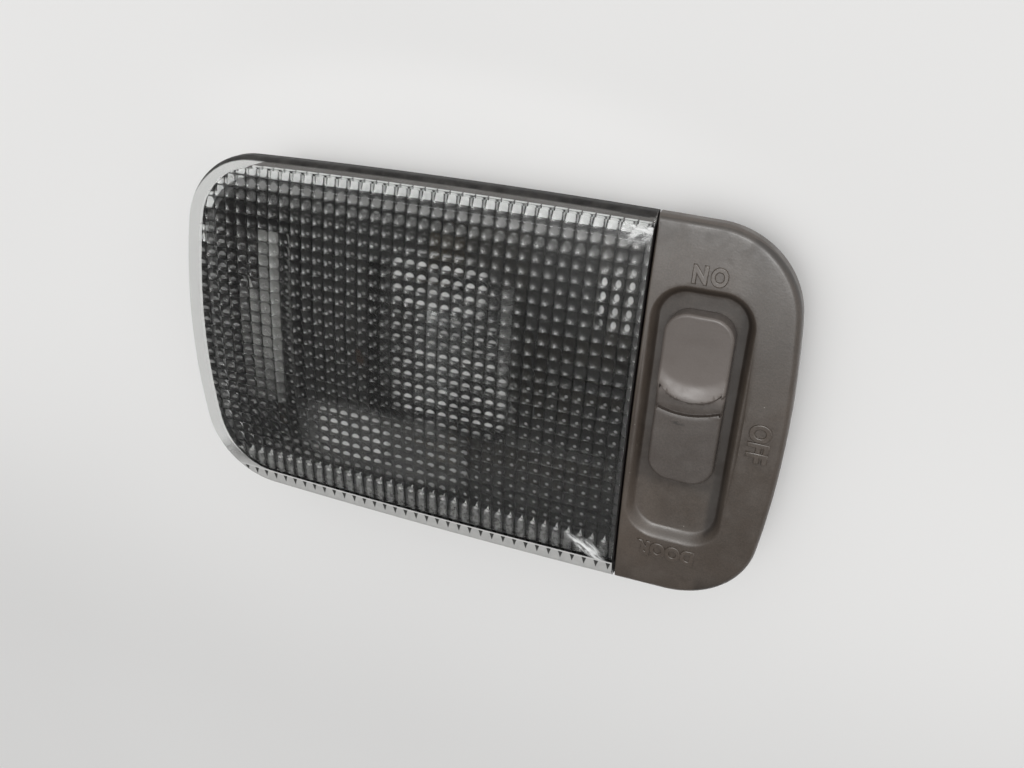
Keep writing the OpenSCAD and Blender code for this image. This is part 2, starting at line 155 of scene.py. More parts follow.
# grey-brown satin plastic with pale dust specks; with interior set, the tray is darkened as painted shade and its
# platform top lightened as painted light
def plastic(name, base, light, interior, rough=0.5, dust=0.5, sheen=1.0):
    m, nt, b = new_mat(name)
    v = coords(nt)
    large = noise(nt, v, 55, 5, 0.6)
    mid = noise(nt, v, 260, 4, 0.6)
    fine = noise(nt, v, 2600, 3, 0.6)
    col = ramp(nt, large, [(0.32, tuple(c * 0.90 for c in base)), (0.68, tuple(c * 1.08 for c in base))])
    col = mixc(nt, ramp(nt, mid, [(0.55, 0.0), (0.85, 0.35)]), col, light)
    # brownish hand grime in faint patches
    grime = ramp(nt, noise(nt, v, 95, 6, 0.7, 0.6), [(0.56, 0.0), (0.74, 0.30)])
    col = mixc(nt, grime, col, (base[0] * 0.74, base[1] * 0.66, base[2] * 0.58))
    grain = ramp(nt, noise(nt, v, 3400, 3, 0.7), [(0.34, 0.80), (0.50, 1.0), (0.66, 1.20)])
    col = mixc(nt, 1.0, col, grain, "MULTIPLY")
    # pale dust specks
    vo = nt.nodes.new("ShaderNodeTexVoronoi")
    vo.inputs["Scale"].default_value = 620
    nt.links.new(v, vo.inputs["Vector"])
    spk = ramp(nt, vo.outputs["Distance"], [(0.035, 1.0), (0.075, 0.0)])
    spk = mixc(nt, ramp(nt, noise(nt, v, 330, 2), [(0.60, 0.0), (0.66, dust)]), (0, 0, 0), spk)
    col = mixc(nt, spk, col, (0.42, 0.40, 0.37))
    # painted shade: the tray's inside and outer walls are darkened by the interior factor, the inside to a darker grey
    if interior:
        o = xyz(nt, v)
        tray = maprange(nt, o["X"], 0.0330, 0.0334, 1.0, 0.0)
        under = maprange(nt, o["Z"], 0.0178, 0.0180, 1.0, 0.0)
        keep = nt.nodes.new("ShaderNodeMath")
        keep.operation = "MAXIMUM"
        nt.links.new(tray, keep.inputs[0])
        nt.links.new(under, keep.inputs[1])
        grey = (base[0] + base[1] + base[2]) / 3
        inner = combine(nt, "MULTIPLY", maprange(nt, o["Z"], 0.0088, 0.0089, 0.0, 1.0), tray)
        outer_c = mixc(nt, mid, tuple(c * interior for c in base), tuple(c * interior * 1.4 for c in base))
        inner_c = mixc(nt, mid, (grey * 0.50,) * 3, (grey * 0.72, grey * 0.70, grey * 0.68))
        dark = mixc(nt, inner, outer_c, inner_c)
        col = mixc(nt, keep.outputs[0], col, dark)
        high = nt.nodes.new("ShaderNodeMath")
        high.operation = "MULTIPLY"
        nt.links.new(maprange(nt, o["X"], -0.0417, -0.0420, 0.0, 1.0), high.inputs[0])
        nt.links.new(maprange(nt, o["Z"], 0.0131, 0.01315, 0.0, 1.0), high.inputs[1])
        low = nt.nodes.new("ShaderNodeMath")
        low.operation = "MULTIPLY"
        nt.links.new(high.outputs[0], low.inputs[0])
        nt.links.new(maprange(nt, o["Z"], 0.0135, 0.0136, 1.0, 0.0), low.inputs[1])
        # painted light: the platform top near the lens is lighter, fading towards -y and cut by a notch
        pale = ramp(nt, large, [(0.3, (0.25, 0.25, 0.244)), (0.7, (0.32, 0.318, 0.308))])
        pale = mixc(nt, maprange(nt, o["X"], -0.0442, -0.0438, 0.0, 1.0), pale, (0.42, 0.418, 0.408))
        notch = combine(nt, "MULTIPLY", maprange(nt, o["X"], -0.0487, -0.0485, 1.0, 0.0), maprange(nt, o["Y"], 0.0080, 0.0083, 0.0, 1.0))
        shade = combine(nt, "MULTIPLY", combine(nt, "SUBTRACT", 1.0, notch), maprange(nt, o["Y"], -0.019, -0.006, 0.25, 1.0))
        col = mixc(nt, combine(nt, "MULTIPLY", low.outputs[0], shade), col, pale)
        # painted shade: the tray's inside is darkened further at its left end
        col = mixc(nt, combine(nt, "MULTIPLY", inner, maprange(nt, o["X"], -0.0500, -0.0490, 0.7, 0.0)), col, (0.085, 0.081, 0.082))
    nt.links.new(col, b.inputs["Base Color"])
    nt.links.new(maprange(nt, mid, 0.3, 0.7, rough - 0.06, rough + 0.08), b.inputs["Roughness"])
    b.inputs["Specular IOR Level"].default_value = sheen
    bump_chain(nt, b, [(fine, 0.35, 0.00004), (mid, 0.12, 0.00008)])
    return m


def metal(name, base, rough, tarnish=0.25, scratch=0.3, spread=0.18):
    m, nt, b = new_mat(name)
    v = coords(nt)
    large = noise(nt, v, 140, 5, 0.6)
    streak = noise(nt, coords(nt, (1, 9, 1)), 420, 4, 0.6)
    dull = tuple(c * 0.55 for c in base)
    col = mixc(nt, ramp(nt, large, [(0.45, 0.0), (0.75, tarnish)]), base, dull)
    nt.links.new(col, b.inputs["Base Color"])
    b.inputs["Metallic"].default_value = 1.0
    nt.links.new(maprange(nt, streak, 0.3, 0.75, rough, rough + spread), b.inputs["Roughness"])
    bump_chain(nt, b, [(streak, scratch, 0.00002)])
    return m


def clear(name, tint, rough, ior, haze=0.0):
    m, nt, b = new_mat(name)
    v = coords(nt)
    n = noise(nt, v, 180, 4, 0.6)
    col = mixc(nt, ramp(nt, n, [(0.45, 0.0), (0.8, 1.0)]), tint, tuple(c * 0.965 for c in tint))
    nt.links.new(col, b.inputs["Base Color"])
    b.inputs["Transmission Weight"].default_value = 1.0
    b.inputs["IOR"].default_value = ior
    nt.links.new(maprange(nt, n, 0.4, 0.8, rough, rough + haze), b.inputs["Roughness"])
    return m


def strip_look(name):
    """Brass sheet gone dull, with two patches painted brighter as painted reflection, where the strips glint through
    the lens.
    """
    m, nt, b = new_mat(name)
    v = coords(nt)
    o = xyz(nt, v)
    n = noise(nt, v, 210, 5, 0.65)
    streak = noise(nt, coords(nt, (1, 7, 1)), 500, 4, 0.6)
    masks = []
    for x0, x1, y0, y1 in ((-0.0375, -0.0215, -0.0315, -0.0190), (0.0225, 0.0315, 0.0105, 0.0240)):
        parts = [maprange(nt, o["X"], x0 - 0.0005, x0 + 0.0005, 0, 1), maprange(nt, o["X"], x1 - 0.0005, x1 + 0.0005, 1, 0),
                 maprange(nt, o["Y"], y0 - 0.0005, y0 + 0.0005, 0, 1), maprange(nt, o["Y"], y1 - 0.0005, y1 + 0.0005, 1, 0)]
        last = parts[0]
        for q in parts[1:]:
            k = nt.nodes.new("ShaderNodeMath")
            k.operation = "MULTIPLY"
            nt.links.new(last, k.inputs[0])
            nt.links.new(q, k.inputs[1])
            last = k.outputs[0]
        masks.append(last)
    k = nt.nodes.new("ShaderNodeMath")
    k.operation = "ADD"
    nt.links.new(masks[0], k.inputs[0])
    nt.links.new(masks[1], k.inputs[1])
    # painted reflection: the two patches get a lighter colour
    glint_c = ramp(nt, n, [(0.35, (0.085, 0.083, 0.079)), (0.7, (0.145, 0.141, 0.134))])
    dull = ramp(nt, n, [(0.35, (0.040, 0.038, 0.035)), (0.75, (0.085, 0.080, 0.074))])
    nt.links.new(mixc(nt, k.outputs[0], dull, glint_c), b.inputs["Base Color"])
    b.inputs["Metallic"].default_value = 1.0
    nt.links.new(maprange(nt, k.outputs[0], 0, 1, 0.5, 0.30), b.inputs["Roughness"])
    bump_chain(nt, b, [(streak, 0.3, 0.00003)])
    return m


BASE = (0.070, 0.055, 0.044)
bezel_mat = plastic("bezel_plastic_look", BASE, (0.100, 0.084, 0.072), 0.0, 0.42, 0.8)
# painted shade: a darker copy of the bezel plastic for the moulding's sides and back
outer_mat = plastic("housing_outside_look", tuple(c * 0.78 for c in BASE), (0.085, 0.070, 0.059), 0.0, 0.5, 0.5, 0.6)
tray_mat = plastic("tray_plastic_look", BASE, (0.10, 0.088, 0.076), 0.50, 0.5, 0.7, 0.3)
nt = bezel_mat.node_tree
bb = nt.nodes["Principled BSDF"]
was = bb.inputs["Base Color"].links[0].from_socket
bv = coords(nt)
bo = xyz(nt, bv)
# painted shade: the recess floor is darkened in the gaps beside the knob, below its lower end and at the recess's top
# end
deep_in = maprange(nt, bo["Z"], 0.0206, 0.0215, 1.0, 0.0)
right_gap = maprange(nt, bo["X"], 0.0480, 0.0492, 0.0, 0.80)
left_gap = combine(nt, "MULTIPLY", maprange(nt, bo["X"], 0.0364, 0.0374, 0.55, 0.0), maprange(nt, bo["Y"], -0.012, 0.004, 0.25, 1.0))
foot = combine(nt, "MULTIPLY", maprange(nt, bo["Y"], -0.0142, -0.0112, 0.0, 0.60), maprange(nt, noise(nt, bv, 700, 4, 0.7), 0.3, 0.6, 0.6, 1.0))
top_gap = maprange(nt, bo["Y"], 0.0205, 0.0222, 0.0, 0.35)
recess_shade = combine(nt, "MAXIMUM", combine(nt, "MAXIMUM", right_gap, left_gap), combine(nt, "MAXIMUM", foot, top_gap))
recess_shade = combine(nt, "MULTIPLY", recess_shade, combine(nt, "MULTIPLY", deep_in, maprange(nt, bo["Z"], 0.0203, 0.02035, 0.0, 1.0)))
nt.links.new(mixc(nt, recess_shade, was, (0.020, 0.015, 0.012)), bb.inputs["Base Color"])
knob_mat = plastic("knob_plastic_look", (0.071, 0.058, 0.050), (0.100, 0.085, 0.074), 0.0, 0.46, 0.8)
lens_mat = clear("lens_look", (0.975, 0.98, 0.975), 0.015, 1.49, 0.03)
nt = knob_mat.node_tree
kb = nt.nodes["Principled BSDF"]
was = kb.inputs["Base Color"].links[0].from_socket
kv = coords(nt)
ko = xyz(nt, kv)
# painted light: the thumb pad is paler, most at its lower end
pad_light_mask = combine(nt, "MULTIPLY", maprange(nt, ko["Y"], 0.0050, 0.0070, 0.0, 1.0), maprange(nt, ko["Y"], 0.006, 0.019, 1.0, 0.62))
pad_light_c = mixc(nt, pad_light_mask, was, (0.140, 0.119, 0.107))
KNOB_PAD = (nt, kb, kv, pad_light_c)
nt = lens_mat.node_tree
ev = coords(nt)
eo = xyz(nt, ev)


def blob(nt, vec, x, y, rx, ry, turn=0.0):
    """1 inside an ellipse at x, y (mm) falling to 0 at its rim."""
    mp = nt.nodes.new("ShaderNodeMapping")
    mp.vector_type = "TEXTURE"
    mp.inputs["Location"].default_value = (x * MM, y * MM, 0)
    mp.inputs["Rotation"].default_value = (0, 0, math.radians(turn))
    mp.inputs["Scale"].default_value = (rx * MM, ry * MM, 1)
    nt.links.new(vec, mp.inputs["Vector"])
    ln = nt.nodes.new("ShaderNodeVectorMath")
    ln.operation = "LENGTH"
    nt.links.new(mp.outputs["Vector"], ln.inputs[0])
    return maprange(nt, ln.outputs["Value"], 0.35, 1.0, 1.0, 0.0)


knt, kb, kv, pad_light_c = KNOB_PAD
smudge = combine(knt, "MULTIPLY", blob(knt, kv, 41.5, 0.8, 1.5, 0.45, -4), ramp(knt, noise(knt, kv, 1400, 4, 0.7), [(0.40, 0.0), (0.55, 0.85)]))
knt.links.new(mixc(knt, smudge, pad_light_c, (0.022, 0.018, 0.016)), kb.inputs["Base Color"])
scuff_area = blob(nt, ev, 30.6, 32.6, 4.4, 3.0, 10)
wrinkle = noise(nt, coords(nt, (1, 1.6, 1)), 240, 6, 0.75, 1.6)
scuff = combine(nt, "MULTIPLY", scuff_area, ramp(nt, wrinkle, [(0.44, 0.0), (0.60, 1.0)]))
only_top = maprange(nt, eo["Z"], 0.0195, 0.0197, 0.0, 1.0)
scuff = combine(nt, "MULTIPLY", combine(nt, "MULTIPLY", scuff, only_top), 0.8)
along = nt.nodes.new("ShaderNodeMapping")
along.vector_type = "TEXTURE"
along.inputs["Rotation"].default_value = (0, 0, math.radians(-33))
along.inputs["Scale"].default_value = (1.0, 0.24, 1.0)
nt.links.new(ev, along.inputs["Vector"])
feather = combine(nt, "MAXIMUM", blob(nt, ev, 28.0, -30.6, 6.9, 1.25, -33), blob(nt, ev, 28.4, -30.0, 3.4, 1.6, -40))
feather = combine(nt, "MULTIPLY", feather, ramp(nt, noise(nt, along.outputs["Vector"], 300, 5, 0.65, 0.6), [(0.38, 0.22), (0.52, 0.95)]))
scuff = combine(nt, "MAXIMUM", scuff, combine(nt, "MULTIPLY", feather, only_top))
white = nt.nodes.new("ShaderNodeBsdfPrincipled")
nt.links.new(ramp(nt, wrinkle, [(0.4, (0.70, 0.71, 0.71)), (0.6, (0.92, 0.93, 0.93))]), white.inputs["Base Color"])
white.inputs["Roughness"].default_value = 0.35
ms = nt.nodes.new("ShaderNodeMixShader")
nt.links.new(scuff, ms.inputs[0])
nt.links.new(nt.nodes["Principled BSDF"].outputs[0], ms.inputs[1])
nt.links.new(white.outputs[0], ms.inputs[2])
stain = combine(nt, "MULTIPLY", combine(nt, "MAXIMUM", blob(nt, ev, -19.8, 0.0, 1.15, 1.7, 20), blob(nt, ev, -20.2, 1.5, 0.8, 0.9)),
                ramp(nt, noise(nt, ev, 1500, 4, 0.7), [(0.34, 0.30), (0.48, 1.0)]))
stain = combine(nt, "MULTIPLY", stain, only_top)
brown = nt.nodes.new("ShaderNodeBsdfPrincipled")
nt.links.new(ramp(nt, noise(nt, ev, 2600, 3), [(0.4, (0.011, 0.007, 0.005)), (0.7, (0.034, 0.021, 0.013))]), brown.inputs["Base Color"])
ms2 = nt.nodes.new("ShaderNodeMixShader")
nt.links.new(stain, ms2.inputs[0])
nt.links.new(ms.outputs[0], ms2.inputs[1])
nt.links.new(brown.outputs[0], ms2.inputs[2])
# scattered dust on the outside
dv = nt.nodes.new("ShaderNodeTexVoronoi")
dv.inputs["Scale"].default_value = 430
nt.links.new(ev, dv.inputs["Vector"])
dust = combine(nt, "MULTIPLY", ramp(nt, dv.outputs["Distance"], [(0.03, 1.0), (0.06, 0.0)]), ramp(nt, noise(nt, ev, 240, 2), [(0.58, 0.0), (0.64, 0.7)]))
dust = combine(nt, "MULTIPLY", dust, only_top)
ms3 = nt.nodes.new("ShaderNodeMixShader")
nt.links.new(dust, ms3.inputs[0])
nt.links.new(ms2.outputs[0], ms3.inputs[1])
nt.links.new(white.outputs[0], ms3.inputs[2])
nt.links.new(ms3.outputs[0], nt.nodes["Material Output"].inputs["Surface"])


def region(nt, vec, x, y, rx, ry, turn=0.0, lo=0.75):
    """1 inside a soft-edged rounded box at x, y (mm)."""
    mp = nt.nodes.new("ShaderNodeMapping")
    mp.vector_type = "TEXTURE"
    mp.inputs["Location"].default_value = (x * MM, y * MM, 0)
    mp.inputs["Rotation"].default_value = (0, 0, math.radians(turn))
    mp.inputs["Scale"].default_value = (rx * MM, ry * MM, 1)
    nt.links.new(vec, mp.inputs["Vector"])
    q = xyz(nt, mp.outputs["Vector"])
    p4 = [combine(nt, "POWER", combine(nt, "ABSOLUTE", q[k], 0.0), 4.0) for k in ("X", "Y")]
    return maprange(nt, combine(nt, "POWER", combine(nt, "ADD", *p4), 0.25), lo, 1.0, 1.0, 0.0)


nt = bezel_mat.node_tree
bb = nt.nodes["Principled BSDF"]
was = bb.inputs["Base Color"].links[0].from_socket
bv = coords(nt)
# painted shade on the upper right of the bezel and painted light on its lower left, as blobs multiplied into the colour
was = mixc(nt, blob(nt, bv, 53.8, 22.8, 8.0, 20.0, 4), was, (0.80, 0.80, 0.80), "MULTIPLY")
was = mixc(nt, blob(nt, bv, 36.4, -22.1, 6.0, 12.0), was, (1.22, 1.22, 1.22), "MULTIPLY")
nt.links.new(was, bb.inputs["Base Color"])


def prism_look():
    """Clear plastic with painted shade in the grooves and painted highlights for the bright spots that the prisms make
    of the metal behind them.
    """
    m = clear("lens_prism_look", (0.96, 0.965, 0.96), 0.02, 1.49, 0.03)
    nt = m.node_tree
    ev = coords(nt)
    o = xyz(nt, ev)
    gx = combine(nt, "SUBTRACT", combine(nt, "MULTIPLY", o["X"], 1 / (PITCH * MM)), OFF_X / PITCH)
    gy = combine(nt, "SUBTRACT", combine(nt, "MULTIPLY", o["Y"], 1 / (PITCH * MM)), OFF_Y / PITCH)
    fx, fy = combine(nt, "FRACT", gx, 0.0), combine(nt, "FRACT", gy, 0.0)
    ix, iy = combine(nt, "FLOOR", gx, 0.0), combine(nt, "FLOOR", gy, 0.0)
    u = combine(nt, "SUBTRACT", combine(nt, "MULTIPLY", fx, 2.0), 1.0)
    w = combine(nt, "SUBTRACT", combine(nt, "MULTIPLY", fy, 2.0), 1.0)
    us, ws = combine(nt, "ADD", u, 0.12), combine(nt, "SUBTRACT", w, 0.12)
    last_row = maprange(nt, o["Y"], TIP_Y * MM - 0.00005, TIP_Y * MM + 0.00005, 0.0, 1.0)
    ws = combine(nt, "MULTIPLY", ws, last_row)
    p4 = [combine(nt, "POWER", combine(nt, "ABSOLUTE", q, 0.0), 3.4) for q in (us, ws)]
    r = combine(nt, "POWER", combine(nt, "ADD", *p4), 1 / 3.4)
    grain = noise(nt, ev, 900, 4, 0.65)
    # painted shade: the columns' grooves are darkened more than the cross grooves
    side_w = combine(nt, "DIVIDE", p4[0], combine(nt, "MAXIMUM", combine(nt, "ADD", *p4), 0.001))
    cross = combine(nt, "MAXIMUM", CROSS_SHADE, maprange(nt, o["X"], -0.0415, -0.0395, 0.90, CROSS_SHADE))
    weight = combine(nt, "MAXIMUM", cross, maprange(nt, side_w, 0.15, 0.75, CROSS_SHADE, 0.95))
    groove = combine(nt, "MULTIPLY", maprange(nt, r, 0.80, 1.03, 0.0, 1.0), weight)
    groove = combine(nt, "MULTIPLY", groove, maprange(nt, grain, 0.3, 0.7, 0.72, 1.0))
    # painted shade: a dark film over the column beside the platform
    column_shade = combine(nt, "MULTIPLY", region(nt, ev, -36.70, -1.0, 1.65, 25.0, 0, 0.7), maprange(nt, grain, 0.3, 0.7, 0.62, 0.86))
    groove = combine(nt, "MAXIMUM", groove, column_shade)
    dark = nt.nodes.new("ShaderNodeBsdfPrincipled")
    nt.links.new(ramp(nt, grain, [(0.35, (0.018, 0.018, 0.018)), (0.7, (0.042, 0.041, 0.040))]), dark.inputs["Base Color"])
    dark.inputs["Roughness"].default_value = 0.55
    dark.inputs["Specular IOR Level"].default_value = 0.2
    m1 = nt.nodes.new("ShaderNodeMixShader")
    nt.links.new(groove, m1.inputs[0])
    nt.links.new(nt.nodes["Principled BSDF"].outputs[0], m1.inputs[1])
    nt.links.new(dark.outputs[0], m1.inputs[2])
    # spots: painted highlights, the bright spots the prisms make of the metal behind them
    cv = nt.nodes.new("ShaderNodeCombineXYZ")
    nt.links.new(ix, cv.inputs[0])
    nt.links.new(iy, cv.inputs[1])
    wn = nt.nodes.new("ShaderNodeTexWhiteNoise")
    wn.noise_dimensions = "3D"
    nt.links.new(cv.outputs[0], wn.inputs["Vector"])
    vary = maprange(nt, wn.outputs["Value"], 0.0, 1.0, 0.72, 1.0, smooth=False)
    total = None
    for cx, cy, rx, ry, turn, su, sv, du, dv, amp in SPOTS:
        eu = combine(nt, "DIVIDE", combine(nt, "SUBTRACT", u, du), su)
        ew = combine(nt, "DIVIDE", combine(nt, "ADD", combine(nt, "SUBTRACT", w, dv), combine(nt, "MULTIPLY", combine(nt, "MULTIPLY", u, u), 0.25)), sv)
        e2 = combine(nt, "ADD", combine(nt, "MULTIPLY", eu, eu), combine(nt, "MULTIPLY", ew, ew))
        spot = combine(nt, "MULTIPLY", maprange(nt, e2, 0.25, 1.0, amp, 0.0), region(nt, ev, cx, cy, rx, ry, turn))
        total = spot if total is None else combine(nt, "MAXIMUM", total, spot)
    total = combine(nt, "MULTIPLY", total, vary)
    # painted light: light columns with round heads below the last row of prisms
    across = combine(nt, "ADD", u, 0.04)
    down = combine(nt, "DIVIDE", combine(nt, "SUBTRACT", TIP_Y * MM, o["Y"]), 0.5 * PITCH * MM)
    column = maprange(nt, combine(nt, "ABSOLUTE", across, 0.0), 0.30, 0.94, 1.0, 0.0)
    top_cut = combine(nt, "MAXIMUM", combine(nt, "SUBTRACT", 0.95, down), 0.0)
    round_top = combine(nt, "ADD", combine(nt, "MULTIPLY", across, across), combine(nt, "MULTIPLY", top_cut, top_cut))
    column = combine(nt, "MULTIPLY", column, maprange(nt, round_top, 0.35, 0.85, 1.0, 0.0))
    hu = combine(nt, "DIVIDE", across, 0.46)
    hw = combine(nt, "DIVIDE", combine(nt, "SUBTRACT", down, combine(nt, "ADD", 0.50, combine(nt, "MULTIPLY", combine(nt, "MULTIPLY", across, across), 0.5))), 0.42)
    head = combine(nt, "ADD", combine(nt, "MULTIPLY", hu, hu), combine(nt, "MULTIPLY", hw, hw))
    head = combine(nt, "MULTIPLY", maprange(nt, head, 0.05, 1.0, 0.80, 0.0), combine(nt, "SUBTRACT", 1.0, last_row))
    column = combine(nt, "MULTIPLY", column, combine(nt, "MULTIPLY", maprange(nt, o["X"], -0.040, 0.000, 0.36, 0.31), maprange(nt, grain, 0.3, 0.7, 0.7, 1.25)))
    total = combine(nt, "MAXIMUM", total, combine(nt, "MULTIPLY", column, combine(nt, "SUBTRACT", 1.0, last_row)))
    total = combine(nt, "MAXIMUM", total, head)
    light = nt.nodes.new("ShaderNodeBsdfPrincipled")
    nt.links.new(ramp(nt, grain, [(0.3, (0.80, 0.80, 0.79)), (0.7, (0.96, 0.96, 0.95))]), light.inputs["Base Color"])
    light.inputs["Roughness"].default_value = 0.4
    m2 = nt.nodes.new("ShaderNodeMixShader")
    nt.links.new(total, m2.inputs[0])
    nt.links.new(m1.outputs[0], m2.inputs[1])
    nt.links.new(light.outputs[0], m2.inputs[2])
    nt.links.new(m2.outputs[0], nt.nodes["Material Output"].inputs["Surface"])
    return m


TIP_Y = -27.6
# painted highlights: x, y, half sizes and turn of each group; then the spot in its cell: half sizes, offset, strength
SPOTS = (
    (-4.5, 17.2, 10.8, 6.2, 0, 0.86, 0.46, -0.06, 0.0, 1.0),
    (-3.0, 7.5, 12.8, 5.4, 0, 0.80, 0.32, -0.06, 0.0, 0.70),
    (-1.5, -3.0, 13.6, 9.0, 0, 0.86, 0.42, -0.06, 0.0, 0.98),
    (28.9, 19.8, 4.1, 6.4, 6, 0.50, 0.72, -0.05, 0.0, 1.0),
    (-23.0, -18.2, 9.4, 6.6, 0, 0.88, 0.52, -0.05, 0.0, 0.96),
    (-8.0, -18.6, 12.4, 8.0, 0, 0.80, 0.38, -0.05, 0.0, 0.58),
    (-16.0, -18.5, 21.0, 8.5, 0, 2.4, 2.4, 0.0, 0.0, 0.095),
    (-2.0, 6.0, 16.0, 19.0, 0, 2.4, 2.4, 0.0, 0.0, 0.045),
    (20.0, -20.0, 20.0, 12.0, 0, 2.4, 2.4, 0.0, 0.0, 0.040),
    (10.0, -22.0, 22.0, 8.0, 0, 0.40, 0.34, 0.1, -0.25, 0.42),
    (-22.0, -25.4, 26.0, 3.6, 0, 0.80, 0.55, -0.05, 0.0, 0.36),
    (-54.0, 0.0, 6.4, 26.0, 0, 0.84, 0.44, -0.05, 0.05, 0.36),
    (-45.5, 0.0, 4.6, 22.0, 0, 0.80, 0.30, -0.10, 0.15, 0.34),
    (-12.0, 29.6, 50.0, 1.7, 0, 0.95, 0.95, 0.0, 0.0, 0.40),
    (-12.0, 27.2, 50.0, 1.7, 0, 0.85, 0.80, 0.0, 0.0, 0.20),
    (20.0, -12.0, 17.0, 17.0, 0, 0.36, 0.30, 0.1, -0.30, 0.38),
    (-22.0, 10.0, 26.0, 24.0, 0, 0.36, 0.30, 0.1, -0.25, 0.28),
    (-35.0, -20.0, 18.0, 10.0, 0, 0.38, 0.32, 0.1, -0.2, 0.32),
    (-31.5, 6.0, 9.0, 22.0, 0, 0.30, 0.24, 0.15, -0.35, 0.42),
)
CROSS_SHADE = 0.42
prism_mat = prism_look()
haze_mat, nt, b = new_mat("lens_margin_look")
v = coords(nt)
fr = noise(nt, v, 700, 4, 0.6)
patch = noise(nt, v, 90, 4, 0.6)
clear_n = nt.nodes.new("ShaderNodeBsdfTransparent")
nt.links.new(ramp(nt, patch, [(0.3, (0.90, 0.905, 0.90)), (0.7, (0.955, 0.96, 0.955))]), clear_n.inputs["Color"])
mo = xyz(nt, v)
# painted light: on the low side the margin is a nearly opaque light grey with a thin light line along its lower edge;
# painted shade: dark spikes at the ends of the grooves
low_side = maprange(nt, mo["Y"], -0.0322, -0.0262, 1.0, 0.0)
below = combine(nt, "SUBTRACT", combine(nt, "SUBTRACT", combine(nt, "MULTIPLY", combine(nt, "MULTIPLY", mo["X"], mo["X"]), 1 / 2.941), 0.0325), mo["Y"])
edge_line = maprange(nt, combine(nt, "ABSOLUTE", combine(nt, "SUBTRACT", below, 0.00020), 0.0), 0.00009, 0.00024, 1.0, 0.0)
col_at = combine(nt, "FRACT", combine(nt, "DIVIDE", combine(nt, "SUBTRACT", mo["X"], 0.00095 - 0.0012), PITCH * MM), 0.0)
off_at = combine(nt, "ABSOLUTE", combine(nt, "SUBTRACT", combine(nt, "MULTIPLY", col_at, PITCH * MM), 0.0012), 0.0)
reach = maprange(nt, below, 0.0003, 0.0020, 0.00050, 0.0, smooth=False)
spike = maprange(nt, combine(nt, "SUBTRACT", off_at, reach), -0.00008, 0.00006, 1.0, 0.0)
spike = combine(nt, "MULTIPLY", combine(nt, "MULTIPLY", spike, low_side), maprange(nt, below, 0.0003, 0.0004, 0.0, 1.0))
spike = combine(nt, "MULTIPLY", spike, maprange(nt, below, 0.0018, 0.0020, 1.0, 0.0))
edge_line = combine(nt, "MULTIPLY", edge_line, low_side)
grey_c = mixc(nt, low_side, ramp(nt, fr, [(0.3, (0.24, 0.24, 0.24)), (0.7, (0.36, 0.36, 0.36))]), ramp(nt, fr, [(0.3, (0.44, 0.44, 0.435)), (0.7, (0.52, 0.52, 0.51))]))
grey_c = mixc(nt, edge_line, grey_c, (0.60, 0.60, 0.595))
grey_c = mixc(nt, spike, grey_c, (0.045, 0.045, 0.044))
nt.links.new(grey_c, b.inputs["Base Color"])
b.inputs["Roughness"].default_value = 0.22
mx = nt.nodes.new("ShaderNodeMixShader")
nt.links.new(combine(nt, "MAXIMUM", maprange(nt, patch, 0.3, 0.7, 0.07, 0.13), combine(nt, "MULTIPLY", low_side, 0.92)), mx.inputs[0])
nt.links.new(clear_n.outputs[0], mx.inputs[1])
nt.links.new(b.outputs[0], mx.inputs[2])
geo = nt.nodes.new("ShaderNodeNewGeometry")
ny = xyz(nt, geo.outputs["Normal"])["Y"]
# painted shade: the lens's edge faces turned towards +y are dark
edge_shade = nt.nodes.new("ShaderNodeBsdfPrincipled")
nt.links.new(ramp(nt, noise(nt, v, 420, 5, 0.65), [(0.35, (0.014, 0.013, 0.013)), (0.7, (0.045, 0.043, 0.041))]), edge_shade.inputs["Base Color"])
edge_shade.inputs["Roughness"].default_value = 0.5
edge_shade.inputs["Specular IOR Level"].default_value = 0.15
mxe = nt.nodes.new("ShaderNodeMixShader")
nt.links.new(combine(nt, "MULTIPLY", maprange(nt, ny, 0.30, 0.52, 0.0, 0.97), combine(nt, "SUBTRACT", 1.0, geo.outputs["Backfacing"])), mxe.inputs[0])
nt.links.new(mx.outputs[0], mxe.inputs[1])
nt.links.new(edge_shade.outputs[0], mxe.inputs[2])
nt.links.new(mxe.outputs[0], nt.nodes["Material Output"].inputs["Surface"])
seam_mat, nt, b = new_mat("seam_grime_look")
v = coords(nt)
nt.links.new(ramp(nt, noise(nt, v, 600, 4, 0.6), [(0.35, (0.010, 0.009, 0.009)), (0.7, (0.030, 0.028, 0.026))]), b.inputs["Base Color"])
b.inputs["Roughness"].default_value = 0.6
b.inputs["Specular IOR Level"].default_value = 0.2
# painted shade: dark grey for the prisms' border step, the skirt and the click tabs under the lens
wall_mat, nt, b = new_mat("lens_step_look")
v = coords(nt)
fr = noise(nt, v, 700, 4, 0.6)
nt.links.new(ramp(nt, fr, [(0.35, (0.055, 0.055, 0.055)), (0.7, (0.11, 0.11, 0.11))]), b.inputs["Base Color"])
b.inputs["Roughness"].default_value = 0.5
# painted light: near-white for the teeth, tips and rib under the lens, standing in for the bright rows the prisms show
rib_light_m, nt, b = new_mat("rib_painted_light_look")
v = coords(nt)
fr = noise(nt, v, 900, 4, 0.6)
nt.links.new(ramp(nt, fr, [(0.3, (0.90, 0.91, 0.91)), (0.7, (0.97, 0.975, 0.975))]), b.inputs["Base Color"])
b.inputs["Roughness"].default_value = 0.45
b.inputs["Transmission Weight"].default_value = 0.12
b.inputs["IOR"].default_value = 1.45
bump_chain(nt, b, [(fr, 0.3, 0.00004)])

